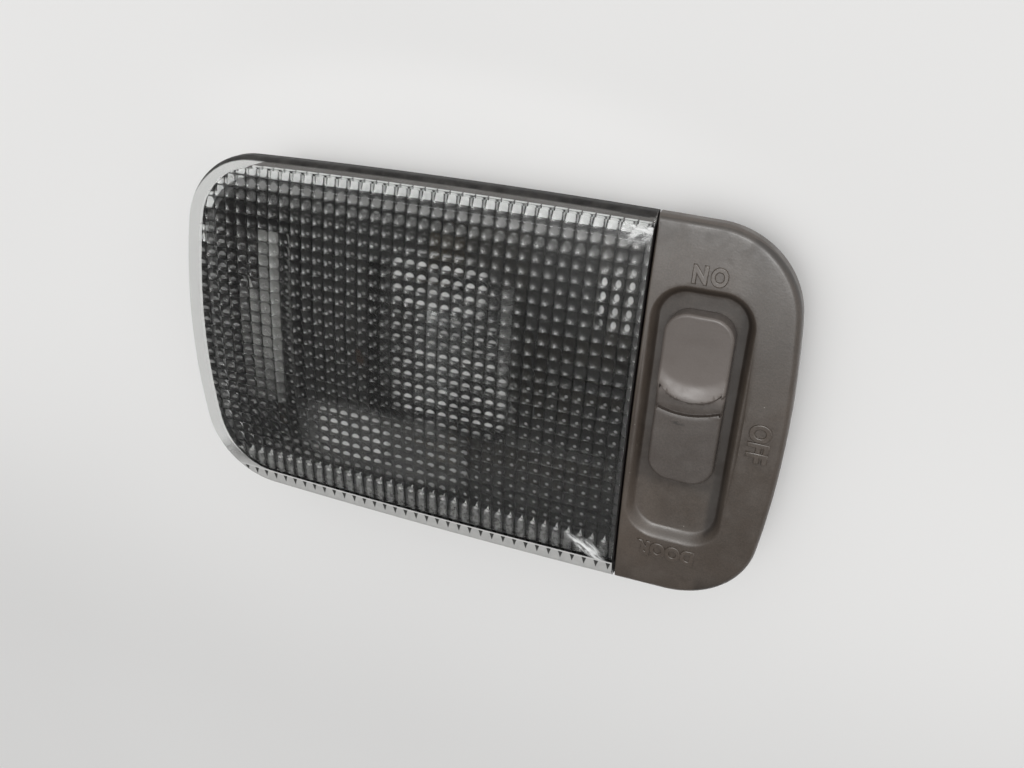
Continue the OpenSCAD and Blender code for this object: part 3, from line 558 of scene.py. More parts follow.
glass_mat = clear("bulb_glass_look", (0.97, 0.98, 0.985), 0.01, 1.5, 0.02)
looks = {
    "slider_carrier": plastic("carrier_look", (0.70, 0.69, 0.64), (0.78, 0.77, 0.73), 0.0, 0.4, 0.2),
    "switch_base": plastic("base_look", (0.022, 0.022, 0.024), (0.04, 0.04, 0.042), 0.0, 0.5, 0.3),
    "moving_contact": metal("contact_look", (0.72, 0.45, 0.22), 0.25),
    "detent_ball": metal("ball_look", (0.72, 0.73, 0.75), 0.12, 0.1, 0.1),
    "detent_spring": metal("spring_look", (0.55, 0.56, 0.58), 0.25, 0.1, 0.2),
    "base_screws": metal("screw_look", (0.62, 0.62, 0.63), 0.28, 0.3, 0.3),
    "feed_strip": strip_look("strip_look"),
    "bulb_holder_feed": metal("holder_look", (0.075, 0.063, 0.048), 0.42, 0.4),
    "holder_rivets": metal("rivet_look", (0.11, 0.10, 0.085), 0.42, 0.4),
    "reflector": metal("reflector_look", (0.30, 0.30, 0.295), 0.22, 0.3, 0.05, 0.12),
    "bulb_cap_feed": metal("cap_look", (0.13, 0.13, 0.128), 0.35, 0.4),
    "bulb_filament": metal("filament_look", (0.40, 0.40, 0.40), 0.4, 0.2),
}
looks["lamp_strip"] = looks["ground_strip"] = looks["door_strip"] = looks["feed_strip"]
looks["bulb_holder_lamp"] = looks["bulb_holder_feed"]
looks["bulb_cap_lamp"] = looks["bulb_cap_feed"]
looks["bulb_glass"] = glass_mat
looks["housing"] = tray_mat
# the reflector's colour is darkened outside a rounded box in its middle
nt = looks["reflector"].node_tree
rb = nt.nodes["Principled BSDF"]
was = rb.inputs["Base Color"].links[0].from_socket
nt.links.new(mixc(nt, region(nt, coords(nt), -1.5, 5.0, 12.0, 17.0), (0.045, 0.044, 0.043), was), rb.inputs["Base Color"])


def paint(obj, m):
    obj.data.materials.clear()
    obj.data.materials.append(m)


for name, m in looks.items():
    for s in nodes[name].material_slots:
        s.material = m

# ------------------------------------------------------------------ shape of the face
HA, HB, SB, EB, CR = 59.4, 36.0, 1.2, 3.6, 15.5
CROWN, FACE_Z, EDGE, RIM_Z = 285.0, 20.5, 1.2, 18.0
SEAM, GAP = 33.3, 0.34
RL = (HA * HA + SB * SB) / (2 * SB)
RS = (HB * HB + EB * EB) / (2 * EB)
ZC = FACE_Z - math.sqrt(CROWN ** 2 - HB ** 2)


def fh(y):
    return ZC + np.sqrt(CROWN ** 2 - np.asarray(y, float) ** 2)


CL = np.array([0.0, HB - RL])
CS = np.array([HA - RS, 0.0])
cd = np.linalg.norm(CS - CL)
cu = (CS - CL) / cd
q1, q2 = RL - CR, RS - CR
qa = (q1 * q1 - q2 * q2 + cd * cd) / (2 * cd)
qh = math.sqrt(q1 * q1 - qa * qa)
CC = CL + cu * qa + np.array([cu[1], -cu[0]]) * qh
A1 = math.atan2(CC[1] - CL[1], CC[0] - CL[0])
A2 = math.atan2(CC[1] - CS[1], CC[0] - CS[0])


def arc(c, r, a, b, n):
    t = np.linspace(a, b, n, endpoint=False)
    return np.c_[c[0] + r * np.cos(t), c[1] + r * np.sin(t)], np.c_[np.cos(t), np.sin(t)]


def part_ring(i, cut, side, n=(46, 26, 44, 44)):
    """Closed outline at inset i of the part left (side -1) or right (side 1) of x = cut, with outward 2-D normals.
    Runs from the top end of the cut round the outer edge to its lower end, and back up the cut."""
    c = -cut if side < 0 else cut
    a0 = math.acos(c / (RL - i))
    P, N = [], []
    for (cen, r, a, b, k) in ((CL, RL - i, a0, A1, n[0]), (CC, CR - i, A1, A2, n[1]), (CS, RS - i, A2, 0, n[2] // 2)):
        p, q = arc(cen, r, a, b, k)
        P.append(p)
        N.append(q)
    P = np.vstack(P)
    N = np.vstack(N)
    tip = np.array([[HA - i, 0.0]])
    P = np.vstack([P, tip, P[::-1] * [1, -1]])
    N = np.vstack([N, [[1.0, 0.0]], N[::-1] * [1, -1]])
    y = P[0][1]
    t = np.linspace(-1, 1, n[3] + 2)[1:-1]
    P = np.vstack([P, np.c_[np.full(n[3], c), t * y]])
    N = np.vstack([N, np.tile([[-1.0, 0.0]], (n[3], 1))])
    if side < 0:
        P = P * [-1, 1]
        N = N * [-1, 1]
    return P, N


N_CUT = 44


class Build:
    """Collects vertices and faces in millimetres, with a normal for each corner where one is known."""

    def __init__(self):
        self.v, self.f, self.n, self.m = [], [], [], []
        self.count = 0

    def add(self, verts, faces, normals=None, mat=0):
        o = self.count
        self.count += len(verts)
        self.v.append(np.asarray(verts, float))
        for i, f in enumerate(faces):
            self.f.append([o + k for k in f])
            self.n.append(None if normals is None else normals[i])
            self.m.append(mat if isinstance(mat, int) else mat[i])

    def loft(self, a, b, na=None, nb=None, flip=False, mat=0):
        k = len(a)
        faces, nor = [], []
        for j in range(k):
            j2 = (j + 1) % k
            f = [j, j2, k + j2, k + j]
            q = None if na is None else [na[j], na[j2], nb[j2], nb[j]]
            if flip:
                f = f[::-1]
                q = None if q is None else q[::-1]
            faces.append(f)
            nor.append(q)
        self.add(np.vstack([a, b]), faces, nor, mat)

    def make(self, name, mats, sharp=38.0, merge=0.002):
        V = np.vstack(self.v)
        key = np.round(V / merge).astype(np.int64)
        _, first, inv = np.unique(key, axis=0, return_index=True, return_inverse=True)
        inv = inv.reshape(-1)
        U = V[first]
        faces, nor, mi = [], [], []
        for f, q, m in zip(self.f, self.n, self.m):
            g, h = [], []
            for c, i in enumerate(f):
                j = int(inv[i])
                if g and (g[-1] == j):
                    continue
                g.append(j)
                h.append(None if q is None else q[c])
            if len(g) > 1 and g[0] == g[-1]:
                g.pop()
                h.pop()
            if len(set(g)) < 3:
                continue
            faces.append(g)
            nor.append(h)
            mi.append(m)
        me = bpy.data.meshes.new(name)
        me.from_pydata([tuple(p * MM) for p in U], [], faces)
        me.update()
        for p, m in zip(me.polygons, mi):
            p.use_smooth = True
            p.material_index = m
        # edges sharper than the limit are creases
        ang = {}
        for p in me.polygons:
            for e in p.edge_keys:
                ang.setdefault(e, []).append(p.normal.copy())
        lim = math.cos(math.radians(sharp))
        for e in me.edges:
            ns = ang.get(e.key, [])
            e.use_edge_sharp = len(ns) != 2 or ns[0].dot(ns[1]) < lim
        me.update()
        if any(h[0] is not None for h in nor if h):
            cn = np.array([c.vector for c in me.corner_normals])
            k = 0
            for h in nor:
                for q in h:
                    if q is not None:
                        cn[k] = q
                    k += 1
            cn /= np.maximum(np.linalg.norm(cn, axis=1), 1e-9)[:, None]
            me.normals_split_custom_set([tuple(c) for c in cn])
        o = bpy.data.objects.new(name, me)
        scene.collection.objects.link(o)
        for m in (mats if isinstance(mats, (list, tuple)) else [mats]):
            me.materials.append(m)
        return o


def inside(poly, pts):
    x, y = pts[:, 0], pts[:, 1]
    r = np.zeros(len(pts), bool)
    x0, y0 = poly[:, 0], poly[:, 1]
    x1, y1 = np.roll(x0, -1), np.roll(y0, -1)
    for a, b, c, d in zip(x0, y0, x1, y1):
        hit = (b > y) != (d > y)
        if b != d:
            r ^= hit & (x < (c - a) * (y - b) / (d - b) + a)
    return r


def near(poly, pts, d):
    a = poly
    b = np.roll(poly, -1, 0)
    out = np.zeros(len(pts), bool)
    for s, e in zip(a, b):
        v = e - s
        L = max(float(v @ v), 1e-12)
        t = np.clip(((pts - s) @ v) / L, 0, 1)
        q = s + t[:, None] * v
        out |= ((pts - q) ** 2).sum(1) < d * d
    return out


def fill(outer, holes, grid, keep_off, lines=()):
    """Triangles over the region inside outer and outside holes, with the grid points that lie in it and edges along lines."""
    ok = inside(outer, grid) & ~near(outer, grid, keep_off)
    for h in holes:
        ok &= ~inside(h, grid) & ~near(h, grid, keep_off)
    for h in lines:
        ok &= ~near(h, grid, keep_off * 0.6)
    pts = grid[ok]
    V, E = [], []
    for lp in [outer] + list(holes):
        o = len(V)
        V += [Vector(p) for p in lp]
        E += [(o + k, o + (k + 1) % len(lp)) for k in range(len(lp))]
    for h in lines:
        o = len(V)
        V += [Vector(p) for p in h]
        E += [(o + k, o + k + 1) for k in range(len(h) - 1)]
    V += [Vector(p) for p in pts]
    vs, _, fs, _, _, _ = delaunay_2d_cdt(V, E, [], 1, 1e-7)
    P = np.array([[q.x, q.y] for q in vs])
    T = np.array([list(f) for f in fs])
    cen = P[T].mean(1)
    good = np.ones(len(T), bool)
    for h in holes:
        good &= ~inside(h, cen)
    T = T[good]
    ar = (P[T[:, 1]] - P[T[:, 0]])
    br = (P[T[:, 2]] - P[T[:, 0]])
    cw = ar[:, 0] * br[:, 1] - ar[:, 1] * br[:, 0] < 0
    T[cw] = T[cw][:, ::-1]
    return P, T


def crown_n(y):
    y = np.asarray(y, float)
    n = np.c_[np.zeros_like(y), y, np.sqrt(CROWN ** 2 - y ** 2)]
    return n / np.linalg.norm(n, axis=1)[:, None]


def with_z(P, z):
    return np.c_[P, np.broadcast_to(z, (len(P),))]


def edge_rings(side, cut, lip, steps=8):
    """Rings of the rounded, crowned top edge, from the top of the round down to its outer foot, with normals."""
    out = []
    for k in range(steps + 1):
        phi = math.pi / 2 * (1 - k / steps)
        i = EDGE * (1 - math.cos(phi))
        il = lip * (1 - math.cos(phi))
        P, N = part_ring(i, cut - il * (1 if side < 0 else -1), side)
        drop = np.full(len(P), EDGE * (1 - math.sin(phi)))
        drop[-N_CUT:] = lip * (1 - math.sin(phi))
        # the points along the cut take the lip's smaller round
        z = fh(P[:, 1]) - drop
        cn = crown_n(P[:, 1])
        n3 = np.c_[N * math.cos(phi), np.zeros(len(P))] + cn * math.sin(phi)
        n3 /= np.linalg.norm(n3, axis=1)[:, None]
        out.append((with_z(P, z), n3))
    return out


# ------------------------------------------------------------------ lens with its prisms
S_X, S_Y, T_MIN, EXP = 0.15, 0.12, 1.76, 2.2
SHIFT = 0.5     # the field sits a little towards the upper side


def cell(P, cen):
    u = (P[:, 0] - (np.floor((cen[:, 0] - OFF_X) / PITCH) + 0.5) * PITCH - OFF_X) / (PITCH / 2)
    w = (P[:, 1] - (np.floor((cen[:, 1] - OFF_Y) / PITCH) + 0.5) * PITCH - OFF_Y) / (PITCH / 2)
    return u, w


def field_z(P, cen):
    u, w = cell(P, cen)
    w = np.where(cen[:, 1] < TIP_Y, 0.0, w)
    return fh(P[:, 1]) - (T_MIN + S_X * (1 - np.abs(u) ** EXP) + S_Y * (1 - np.abs(w) ** EXP))


def field_n(P, cen):
    u, w = cell(P, cen)
    w = np.where(cen[:, 1] < TIP_Y, 0.0, w)
    cn = crown_n(P[:, 1])
    gx = EXP * S_X * np.sign(u) * np.abs(u) ** (EXP - 1) / (PITCH / 2)
    gy = EXP * S_Y * np.sign(w) * np.abs(w) ** (EXP - 1) / (PITCH / 2) - cn[:, 1] / cn[:, 2]
    n = np.c_[gx, gy, -np.ones(len(P))]
    return n / np.linalg.norm(n, axis=1)[:, None]


def shifted(P, dy):
    return P + [0, dy]


cut = SEAM - GAP / 2
B = Build()
rings = edge_rings(-1, cut, 0.2)
for step_, ((a, na), (c, nc)) in enumerate(zip(rings[:-1], rings[1:])):
    end_ = 3
    B.loft(a, c, na, nc, flip=True, mat=[end_ if len(a) - N_CUT <= k < len(a) - 1 else (0 if k >= len(a) - N_CUT - 1 else 1) for k in range(len(a))])
top_ring = rings[0][0]
gx, gy = np.meshgrid(np.arange(-60, 34, 2.0), np.arange(-36, 37, 1.0))
border = part_ring(2.9, cut - 0.5, -1)[0] + [0.25, SHIFT + 0.1]
border = border[:len(border) - N_CUT]
P, T = fill(top_ring[:, :2], [], np.c_[gx.ravel(), gy.ravel()], 0.5, [border])
n3 = crown_n(P[:, 1])
closed = np.vstack([border, [[60.0, border[-1][1]], [60.0, border[0][1]]]])
in_field = inside(closed, P[T].mean(1))
B.add(with_z(P, fh(P[:, 1])), T.tolist(), [[n3[i] for i in t] for t in T], mat=[0 if q else 1 for q in in_field])
foot = rings[-1][0]
low, _ = part_ring(0, cut, -1)
low = with_z(low, RIM_Z)
r1 = with_z(part_ring(2.2, cut - 0.35, -1)[0], RIM_Z)
r2 = with_z(r1[:, :2], RIM_Z + 0.4)
pb, _ = part_ring(2.9, cut - 0.5, -1)
pb = shifted(pb, SHIFT)
r3 = with_z(pb, RIM_Z + 0.4)
side_n = part_ring(0, cut, -1)[1]
B.loft(foot, low, flip=True, mat=[3 if k >= len(foot) - N_CUT - 1 else 1 for k in range(len(foot))])
B.loft(low, r1, flip=True, mat=[3 if k >= len(low) - N_CUT - 1 else 1 for k in range(len(low))])
for lo_, hi_ in ((r1, r2), (r2, r3)):
    B.loft(lo_, hi_, flip=True, mat=[3 if k >= len(lo_) - N_CUT - 1 else 1 for k in range(len(lo_))])
# prism field: grid lines fall on the grooves, so each groove is a real crease
step = PITCH / 8
xs = OFF_X + np.arange(math.floor(-62 / step), math.ceil(36 / step)) * step
ys = OFF_Y + np.arange(math.floor(-38 / step), math.ceil(38 / step)) * step
gx, gy = np.meshgrid(xs, ys)
P, T = fill(pb, [], np.c_[gx.ravel(), gy.ravel()], 0.12)
cen = P[T].mean(1)
tri_v = P[T].reshape(-1, 2)
tri_c = np.repeat(cen, 3, 0)
zz = field_z(tri_v, tri_c)
nn = field_n(tri_v, tri_c)
vz = np.zeros(len(P))
cnt = np.zeros(len(P))
np.add.at(vz, T.ravel(), zz)
np.add.at(cnt, T.ravel(), 1)
vz /= np.maximum(cnt, 1)
# walls from the margin down to the prisms' edge
idx = {(round(p[0], 4), round(p[1], 4)): k for k, p in enumerate(P)}
rz = np.array([vz[idx[(round(p[0], 4), round(p[1], 4))]] if (round(p[0], 4), round(p[1], 4)) in idx
               else fh(p[1]) - T_MIN for p in pb])
r4 = with_z(pb, rz)
B.loft(r3, r4, flip=True, mat=[3 if k >= len(r3) - N_CUT - 1 else 4 for k in range(len(r3))])
tri = [list(t[::-1]) for t in T.tolist()]
nn = nn.reshape(-1, 3, 3)[:, ::-1]
B.add(with_z(P, vz), tri, [list(q) for q in nn], mat=2)
lens = B.make("lens_prismatic", [lens_mat, haze_mat, prism_mat, seam_mat, wall_mat])
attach(lens, "lamp_body")
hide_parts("lens")

# skirt with its land, and the click tabs, all in the dark grey that is painted shade
B = Build()


def tilt_z(Q, lift=0.12):
    return fh(Q[:, 1]) - T_MIN - S_X - S_Y - lift


so, si = part_ring(4.2, 32.85, -1)[0], part_ring(5.4, 31.7, -1)[0]
B.loft(with_z(so, 15.4), with_z(so, tilt_z(so)))
B.loft(with_z(so, tilt_z(so)), with_z(si, tilt_z(si)))
B.loft(with_z(si, tilt_z(si)), with_z(si, 15.4))
B.loft(with_z(si, 15.4), with_z(so, 15.4))


def block(B, x0, x1, y0, y1, z0, z1, e=0.15):
    """Box with chamfered edges."""
    lv = [(e, z0), (0, z0 + e), (0, z1 - e), (e, z1)]
    rs = []
    for d, z in lv:
        a_, b_, c_, d_ = x0 + d, x1 - d, y0 + d, y1 - d
        rs.append(np.array([(a_ + e, c_, z), (b_ - e, c_, z), (b_, c_ + e, z), (b_, d_ - e, z),
                            (b_ - e, d_, z), (a_ + e, d_, z), (a_, d_ - e, z), (a_, c_ + e, z)]))
    for q, r in zip(rs[:-1], rs[1:]):
        B.loft(q, r)
    B.add(rs[0], [list(range(7, -1, -1))])
    B.add(rs[-1], [list(range(8))])


for sy in (1, -1):
    y0, y1 = (30.2, 31.4) if sy > 0 else (-31.4, -30.2)
    block(B, 26.4, 30.6, y0, y1, 13.0, 18.4)
    y0, y1 = (31.0, 32.8) if sy > 0 else (-32.8, -31.0)
    block(B, 26.4, 30.6, y0, y1, 13.4, 15.0, 0.3)
block(B, -HA + 4.4, -HA + 5.6, -3.6, 3.6, 13.4, 18.4)
block(B, -HA + 3.0, -HA + 4.8, -3.6, 3.6, 13.5, 15.0, 0.3)
skirt = B.make("lens_skirt", wall_mat)
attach(skirt, "lamp_body")

# near-white teeth along the upper long side, one under each prism of the first row; the white is painted light
B = Build()
for k in range(math.floor(-56 / PITCH), math.floor(32.8 / PITCH) + 1):
    x0 = OFF_X + k * PITCH
    xm = x0 + PITCH / 2
    if abs(xm) > 56 or xm > 32.3:
        continue
    q = abs(xm)
    if q < CC[0]:
        yo = CL[1] + math.sqrt((RL - 2.95) ** 2 - xm * xm)
    else:
        yo = CC[1] + math.sqrt(max((CR - 2.95) ** 2 - (q - CC[0]) ** 2, 0))
    yo += 0.75
    yi = yo - 3.45
    sl = 0.46
    w0, w1 = 0.10, 2.26
    zt = float(fh(yo)) - T_MIN - S_X - S_Y - 0.05
    zt = min(max(zt, 18.425), float(fh(yo)) - 0.03)
    lo = np.array([(x0 + w0, yi, 18.405), (x0 + w1, yi, 18.405), (x0 + w1 + sl, yo, 18.405), (x0 + w0 + sl, yo, 18.405)])
    md = lo + [0, 0, 0.01]
    cen_ = lo.mean(0)
    hi = cen_ + (lo - cen_) * [0.93, 0.96, 1]
    hi[:, 2] = zt
    B.loft(lo, md)
    B.loft(md, hi)
    B.add(lo, [[3, 2, 1, 0]])
    B.add(hi, [[0, 1, 2, 3]])


def low_edge(x, i):
    q = abs(x)
    if q < CC[0]:
        return -(CL[1] + math.sqrt((RL - i) ** 2 - x * x))
    return -(CC[1] + math.sqrt(max((CR - i) ** 2 - (q - CC[0]) ** 2, 0.01)))


def wedge(B, pts, z0, z1):
    """Flat little prism with a slightly smaller top."""
    lo = np.array([(px, py, z0) for px, py in pts])
    c_ = lo.mean(0)
    hi = c_ + (lo - c_) * [0.8, 0.8, 1]
    hi[:, 2] = z1
    B.loft(lo, hi)
    B.add(lo, [list(range(len(pts)))[::-1]])
    B.add(hi, [list(range(len(pts)))])


# light tips under the last row's columns and a thin rib along the lower edge, in the same painted-light white
rnd = random.Random(11)
for k in range(math.floor(-50 / PITCH), math.floor(32.0 / PITCH) + 1):
    xm = OFF_X + (k + 0.5) * PITCH
    if xm > 32.2 or xm < -52:
        continue
    yb = max(TIP_Y - 0.9, low_edge(xm, 4.6) + SHIFT)
    zt = float(fh(yb)) - T_MIN - S_X - S_Y - 0.10
    h_ = 1.25 + 0.3 * rnd.random()
    wedge(B, [(xm - 0.42, yb), (xm + 0.46, yb), (xm + 0.10, yb + h_)], zt - 0.12, zt)
rib_x = np.arange(-53.0, 32.9, 0.6)
V_, F_ = [], []
for x_ in rib_x:
    y_ = low_edge(x_, 2.9) + SHIFT - 0.22
    z_ = RIM_Z + 0.39
    V_ += [(x_, y_ - 0.15, z_ - 0.12), (x_, y_ + 0.15, z_ - 0.12), (x_, y_ + 0.11, z_), (x_, y_ - 0.11, z_)]
for k in range(len(rib_x) - 1):
    for r_ in range(4):
        F_.append([4 * k + r_, 4 * k + (r_ + 1) % 4, 4 * k + 4 + (r_ + 1) % 4, 4 * k + 4 + r_])
F_ += [[3, 2, 1, 0], [4 * len(rib_x) - 4 + q for q in range(4)]]
B.add(V_, F_)
land = B.make("lens_teeth", rib_light_m)
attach(land, "lamp_body")

# ------------------------------------------------------------------ housing: smooth end piece on the rest of the moulding
def rrect(w, l, r, cx, cy, n=14):
    pts, nor = [], []
    for (sx, sy, a) in ((1, 1, 0), (-1, 1, 90), (-1, -1, 180), (1, -1, 270)):
        for k in range(n + 1):
            t = math.radians(a + 90 * k / n)
            pts.append((cx + sx * (w / 2 - r) + r * math.cos(t), cy + sy * (l / 2 - r) + r * math.sin(t)))
            nor.append((math.cos(t), math.sin(t)))
    return np.array(pts), np.array(nor)


SW_X, SW_Y, REC_W, REC_L, REC_Z = 42.9, 0.6, 15.4, 46.8, 20.4
B = Build()


def inset_of(x, y):
    q = np.array([abs(x), abs(y)])
    a = math.atan2(q[1] - CC[1], q[0] - CC[0])
    if A2 <= a <= A1 and q[0] > CC[0] - 2 and q[1] > CC[1] - 2:
        return CR - np.linalg.norm(q - CC)
    return min(RL - np.linalg.norm(q - CL), RS - np.linalg.norm(q - CS))


src = nodes["housing"]
bm = bmesh.new()
bm.from_mesh(src.data)
bm.transform(src.matrix_world)
bmesh.ops.scale(bm, vec=(1000, 1000, 1000), verts=bm.verts)
bmesh.ops.remove_doubles(bm, verts=bm.verts, dist=0.002)
bmesh.ops.bisect_plane(bm, geom=bm.verts[:] + bm.edges[:] + bm.faces[:], dist=0.0005, plane_co=(0, 0, RIM_Z), plane_no=(0, 0, 1))
hw, hl = REC_W / 2 + 0.05, REC_L / 2 + 0.05
gone = []
for f in bm.faces:
    vs = [v.co for v in f.verts]
    c = f.calc_center_median()
    if c.x < 33.5 or min(v.z for v in vs) < RIM_Z - 0.005:
        continue
    if abs(c.x - SW_X) < hw and abs(c.y - SW_Y) < hl and min(v.z for v in vs) > REC_Z - 0.01:
        gone.append(f)      # recess wall and floor
    elif all(v.x < 33.56 for v in vs) or all(v.z > float(fh(v.y)) - 0.12 for v in vs):
        gone.append(f)      # face at the seam, crowned face
    elif max(v.z for v in vs) > RIM_Z + 0.01 and all(inset_of(v.x, v.y) < 1.5 for v in vs):
        gone.append(f)      # rounded edge and side
bmesh.ops.delete(bm, geom=gone, context="FACES")
bm.verts.index_update()


def outside(f):
    """Faces of the moulding that are seen from the sides and the back."""
    c = f.calc_center_median()
    if c.x > 33.2 or f.normal.z < -0.5:
        return True
    e = 0.2
    gx_ = (inset_of(c.x + e, c.y) - inset_of(c.x - e, c.y), inset_of(c.x, c.y + e) - inset_of(c.x, c.y - e))
    out_ = -(gx_[0] * f.normal.x + gx_[1] * f.normal.y) / (2 * e)
    return (out_ > 0.3 and inset_of(c.x, c.y) < 6.5) or (c.z < 8.0 and abs(f.normal.z) < 0.5)


bm.normal_update()
B.add([tuple(v.co) for v in bm.verts], [[v.index for v in f.verts] for f in bm.faces], mat=[2 if outside(f) else 1 for f in bm.faces])
bm.free()

cut_r = SEAM + GAP / 2
rings = edge_rings(1, cut_r, 0.35)
for (a, na), (c, nc) in zip(rings[:-1], rings[1:]):
    B.loft(a, c, na, nc)
foot = rings[-1][0]
B.loft(foot, np.c_[foot[:, :2], np.full(len(foot), RIM_Z)])
FIL, FOOT = 1.00, 0.55
lip0 = rrect(REC_W + 2 * FIL, REC_L + 2 * FIL, 5 + FIL, SW_X, SW_Y)[0]
gx, gy = np.meshgrid(np.arange(33, 60, 0.6), np.arange(-36, 37, 0.6))
P, T = fill(rings[0][0][:, :2], [lip0], np.c_[gx.ravel(), gy.ravel()], 0.25)


def pits(P):
    """A small nick in the lower edge and a pit near the ON end."""
    z = np.zeros(len(P))
    for x, y, rx, ry, d in ((45.4, 29.6, 0.5, 0.4, 0.09), (46.5, -32.1, 0.5, 0.75, 0.20)):
        q = ((P[:, 0] - x) / rx) ** 2 + ((P[:, 1] - y) / ry) ** 2
        z -= d * np.exp(-q)
    return z


B.add(with_z(P, fh(P[:, 1]) + pits(P)), T.tolist())
last = None
for k in range(17):
    t_ = k / 16
    off = FIL - (FIL + FOOT) * t_
    Q = rrect(REC_W + 2 * off, REC_L + 2 * off - 1.0 * t_, 5 + off, SW_X, SW_Y + 0.5 * t_)[0]
    top = fh(Q[:, 1])
    s_ = t_ * t_ * (3 - 2 * t_)
    cur = with_z(Q, top + (REC_Z - top) * s_)
    if last is not None:
        B.loft(last, cur)
    last = cur
last = (last,)
gx, gy = np.meshgrid(np.arange(34, 52, 1.0), np.arange(-26, 27, 1.0))
slot_ = np.array([(SW_X - 3.05, SW_Y - 9.2), (SW_X + 3.05, SW_Y - 9.2), (SW_X + 3.05, SW_Y + 9.2), (SW_X - 3.05, SW_Y + 9.2)])
P, T = fill(last[0][:, :2], [slot_], np.c_[gx.ravel(), gy.ravel()], 0.4)
B.add(with_z(P, REC_Z), T.tolist())
face = B.make("housing_moulding", [bezel_mat, tray_mat, outer_mat], sharp=32)
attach(face, "lamp_body")
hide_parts("housing")


# raised lettering
letter_mat = plastic("lettering_look", tuple(c * 1.12 for c in BASE), (0.115, 0.097, 0.083), 0.0, 0.38, 0.4)


def letters(name, text, x, y, size, turn, wide=1.0, tall=1.0, space=1.0, bold=0.00010):
    cu_ = bpy.data.curves.new(name, "FONT")
    cu_.body = text
    cu_.size = size * MM
    cu_.align_x = "CENTER"
    cu_.align_y = "CENTER"
    cu_.space_character = space
    cu_.offset = bold
    cu_.extrude = 0.00014
    cu_.bevel_depth = 0.00019
    cu_.bevel_resolution = 3
    cu_.resolution_u = 12
    o = bpy.data.objects.new(name, cu_)
    scene.collection.objects.link(o)
    tilt = math.asin(-y / CROWN)
    o.matrix_world = (Matrix.Translation((x * MM, y * MM, float(fh(y)) * MM)) @ Matrix.Rotation(tilt, 4, "X")
                      @ Matrix.Rotation(math.radians(turn), 4, "Z") @ Matrix.Diagonal((wide, tall, 1, 1)))
    bpy.context.view_layer.update()
    dg = bpy.context.evaluated_depsgraph_get()
    me = bpy.data.meshes.new_from_object(o.evaluated_get(dg))
    me.transform(o.matrix_world)
    bpy.data.objects.remove(o)
    m = bpy.data.objects.new(name, me)
    scene.collection.objects.link(m)
    paint(m, letter_mat)
    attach(m, "lamp_body")
    return m


letters("lettering_on", "ON", 43.0, 27.2, 3.95, 180, wide=0.84, space=1.27, bold=0.00007)
letters("lettering_off", "OFF", 55.0, 0.35, 4.6, 270, wide=0.86, space=1.02)
letters("lettering_door", "DOOR", 42.75, -26.0, 4.0, 180, wide=0.84, space=1.02)


# ------------------------------------------------------------------ sliding knob
STEP = 4.5
KX, KY = SW_X - 0.05, STEP + SW_Y
KW, KL, KR = 11.5, 31.5, 3.9
Z0, Z_LOW, Z_FLAT, Z_LIP = REC_Z + 0.15, REC_Z + 2.1, 23.25, 23.95


def smooth(t):
    t = np.clip(t, 0, 1)
    return t * t * (3 - 2 * t)


def groove_y(x):
    return -2.45 + 0.036 * x * x + 0.07 * x


def arc_y(x):
    t = np.clip(np.abs(x) / 6.15, 0, 0.995)
    return 0.45 + 5.9 * (1 - (1 - t ** 2.3) ** (1 / 2.3))


def knob_z(P):
    x, y = P[:, 0], P[:, 1]
    low = Z_LOW - 0.0035 * x * x - 0.0012 * np.abs(y + 8) ** 2 * (y < -2)
    g = np.abs(y - groove_y(x)) / 0.30
    low = low - 0.75 * np.sqrt(np.clip(1 - g * g, 0, None)) - 0.10 * np.exp(-((np.abs(y - groove_y(x)) - 0.30) / 0.25) ** 2)
    s_ = y - arc_y(x)
    lip = Z_FLAT + (Z_LIP - Z_FLAT) * (1 - (np.abs(x) / 6.4) ** 2.2)
    back = smooth((s_ - 0.15) / 3.1)
    pad = lip + (Z_FLAT - lip) * back + 0.02 * np.clip(y - 4, 0, None) - 0.004 * x * x
    rim = smooth((s_ + 0.55) / 0.75)
    z = low + (pad - low) * rim
    return z


def rim_drop(d, e):
    t = np.clip((e - d) / e, 0, 1)
    return e - e * np.sqrt(np.clip(1 - t * t, 0, None))


B = Build()
E_K = 0.55
prev = None
offs = [E_K * (1 - math.cos(math.pi / 2 * k / 9)) for k in range(10)]
loops = []      # points lie close together along the long sides, where the height steps
for off in offs:
    q = rrect(KW - 2 * off, KL - 2 * off, KR - off, 0, 0, 26)[0]
    out = []
    q0 = rrect(KW, KL, KR, 0, 0, 26)[0]
    for k0 in range(len(q)):
        a_, b_ = q[k0], q[(k0 + 1) % len(q)]
        c_, e_ = q0[k0], q0[(k0 + 1) % len(q)]
        d_ = np.linalg.norm(e_ - c_)
        m = max(1, int(round(d_ / (0.22 if abs(c_[0] - e_[0]) < 1e-6 else 0.6)))) if d_ > 0.5 else 1
        for k in range(m):
            out.append(a_ + (b_ - a_) * k / m)
    loops.append(np.array(out))
top_edge = []
for off, q in zip(offs, loops):
    # near the rim the top is read a little further in, so the round stays even along the steps
    z = knob_z(q * [(KW / 2 - E_K) / (KW / 2), 1]) - rim_drop(np.full(len(q), off), E_K)
    top_edge.append(with_z(q + [KX, KY], z))
B.loft(with_z(loops[0] + [KX, KY], Z0), top_edge[0])
for a_, c_ in zip(top_edge[:-1], top_edge[1:]):
    B.loft(a_, c_)
xs = np.linspace(-KW / 2 + E_K + 0.02, KW / 2 - E_K - 0.02, 50)
lines = []
for dy in (-0.30, -0.22, -0.1, 0.0, 0.1, 0.22, 0.30):
    lines.append(np.c_[xs, groove_y(xs) + dy])
for dy in (-0.55, -0.42, -0.3, -0.18, -0.05, 0.08, 0.2):
    q = np.c_[xs, arc_y(xs) + dy]
    lines.append(q[np.abs(xs) < 5.15])
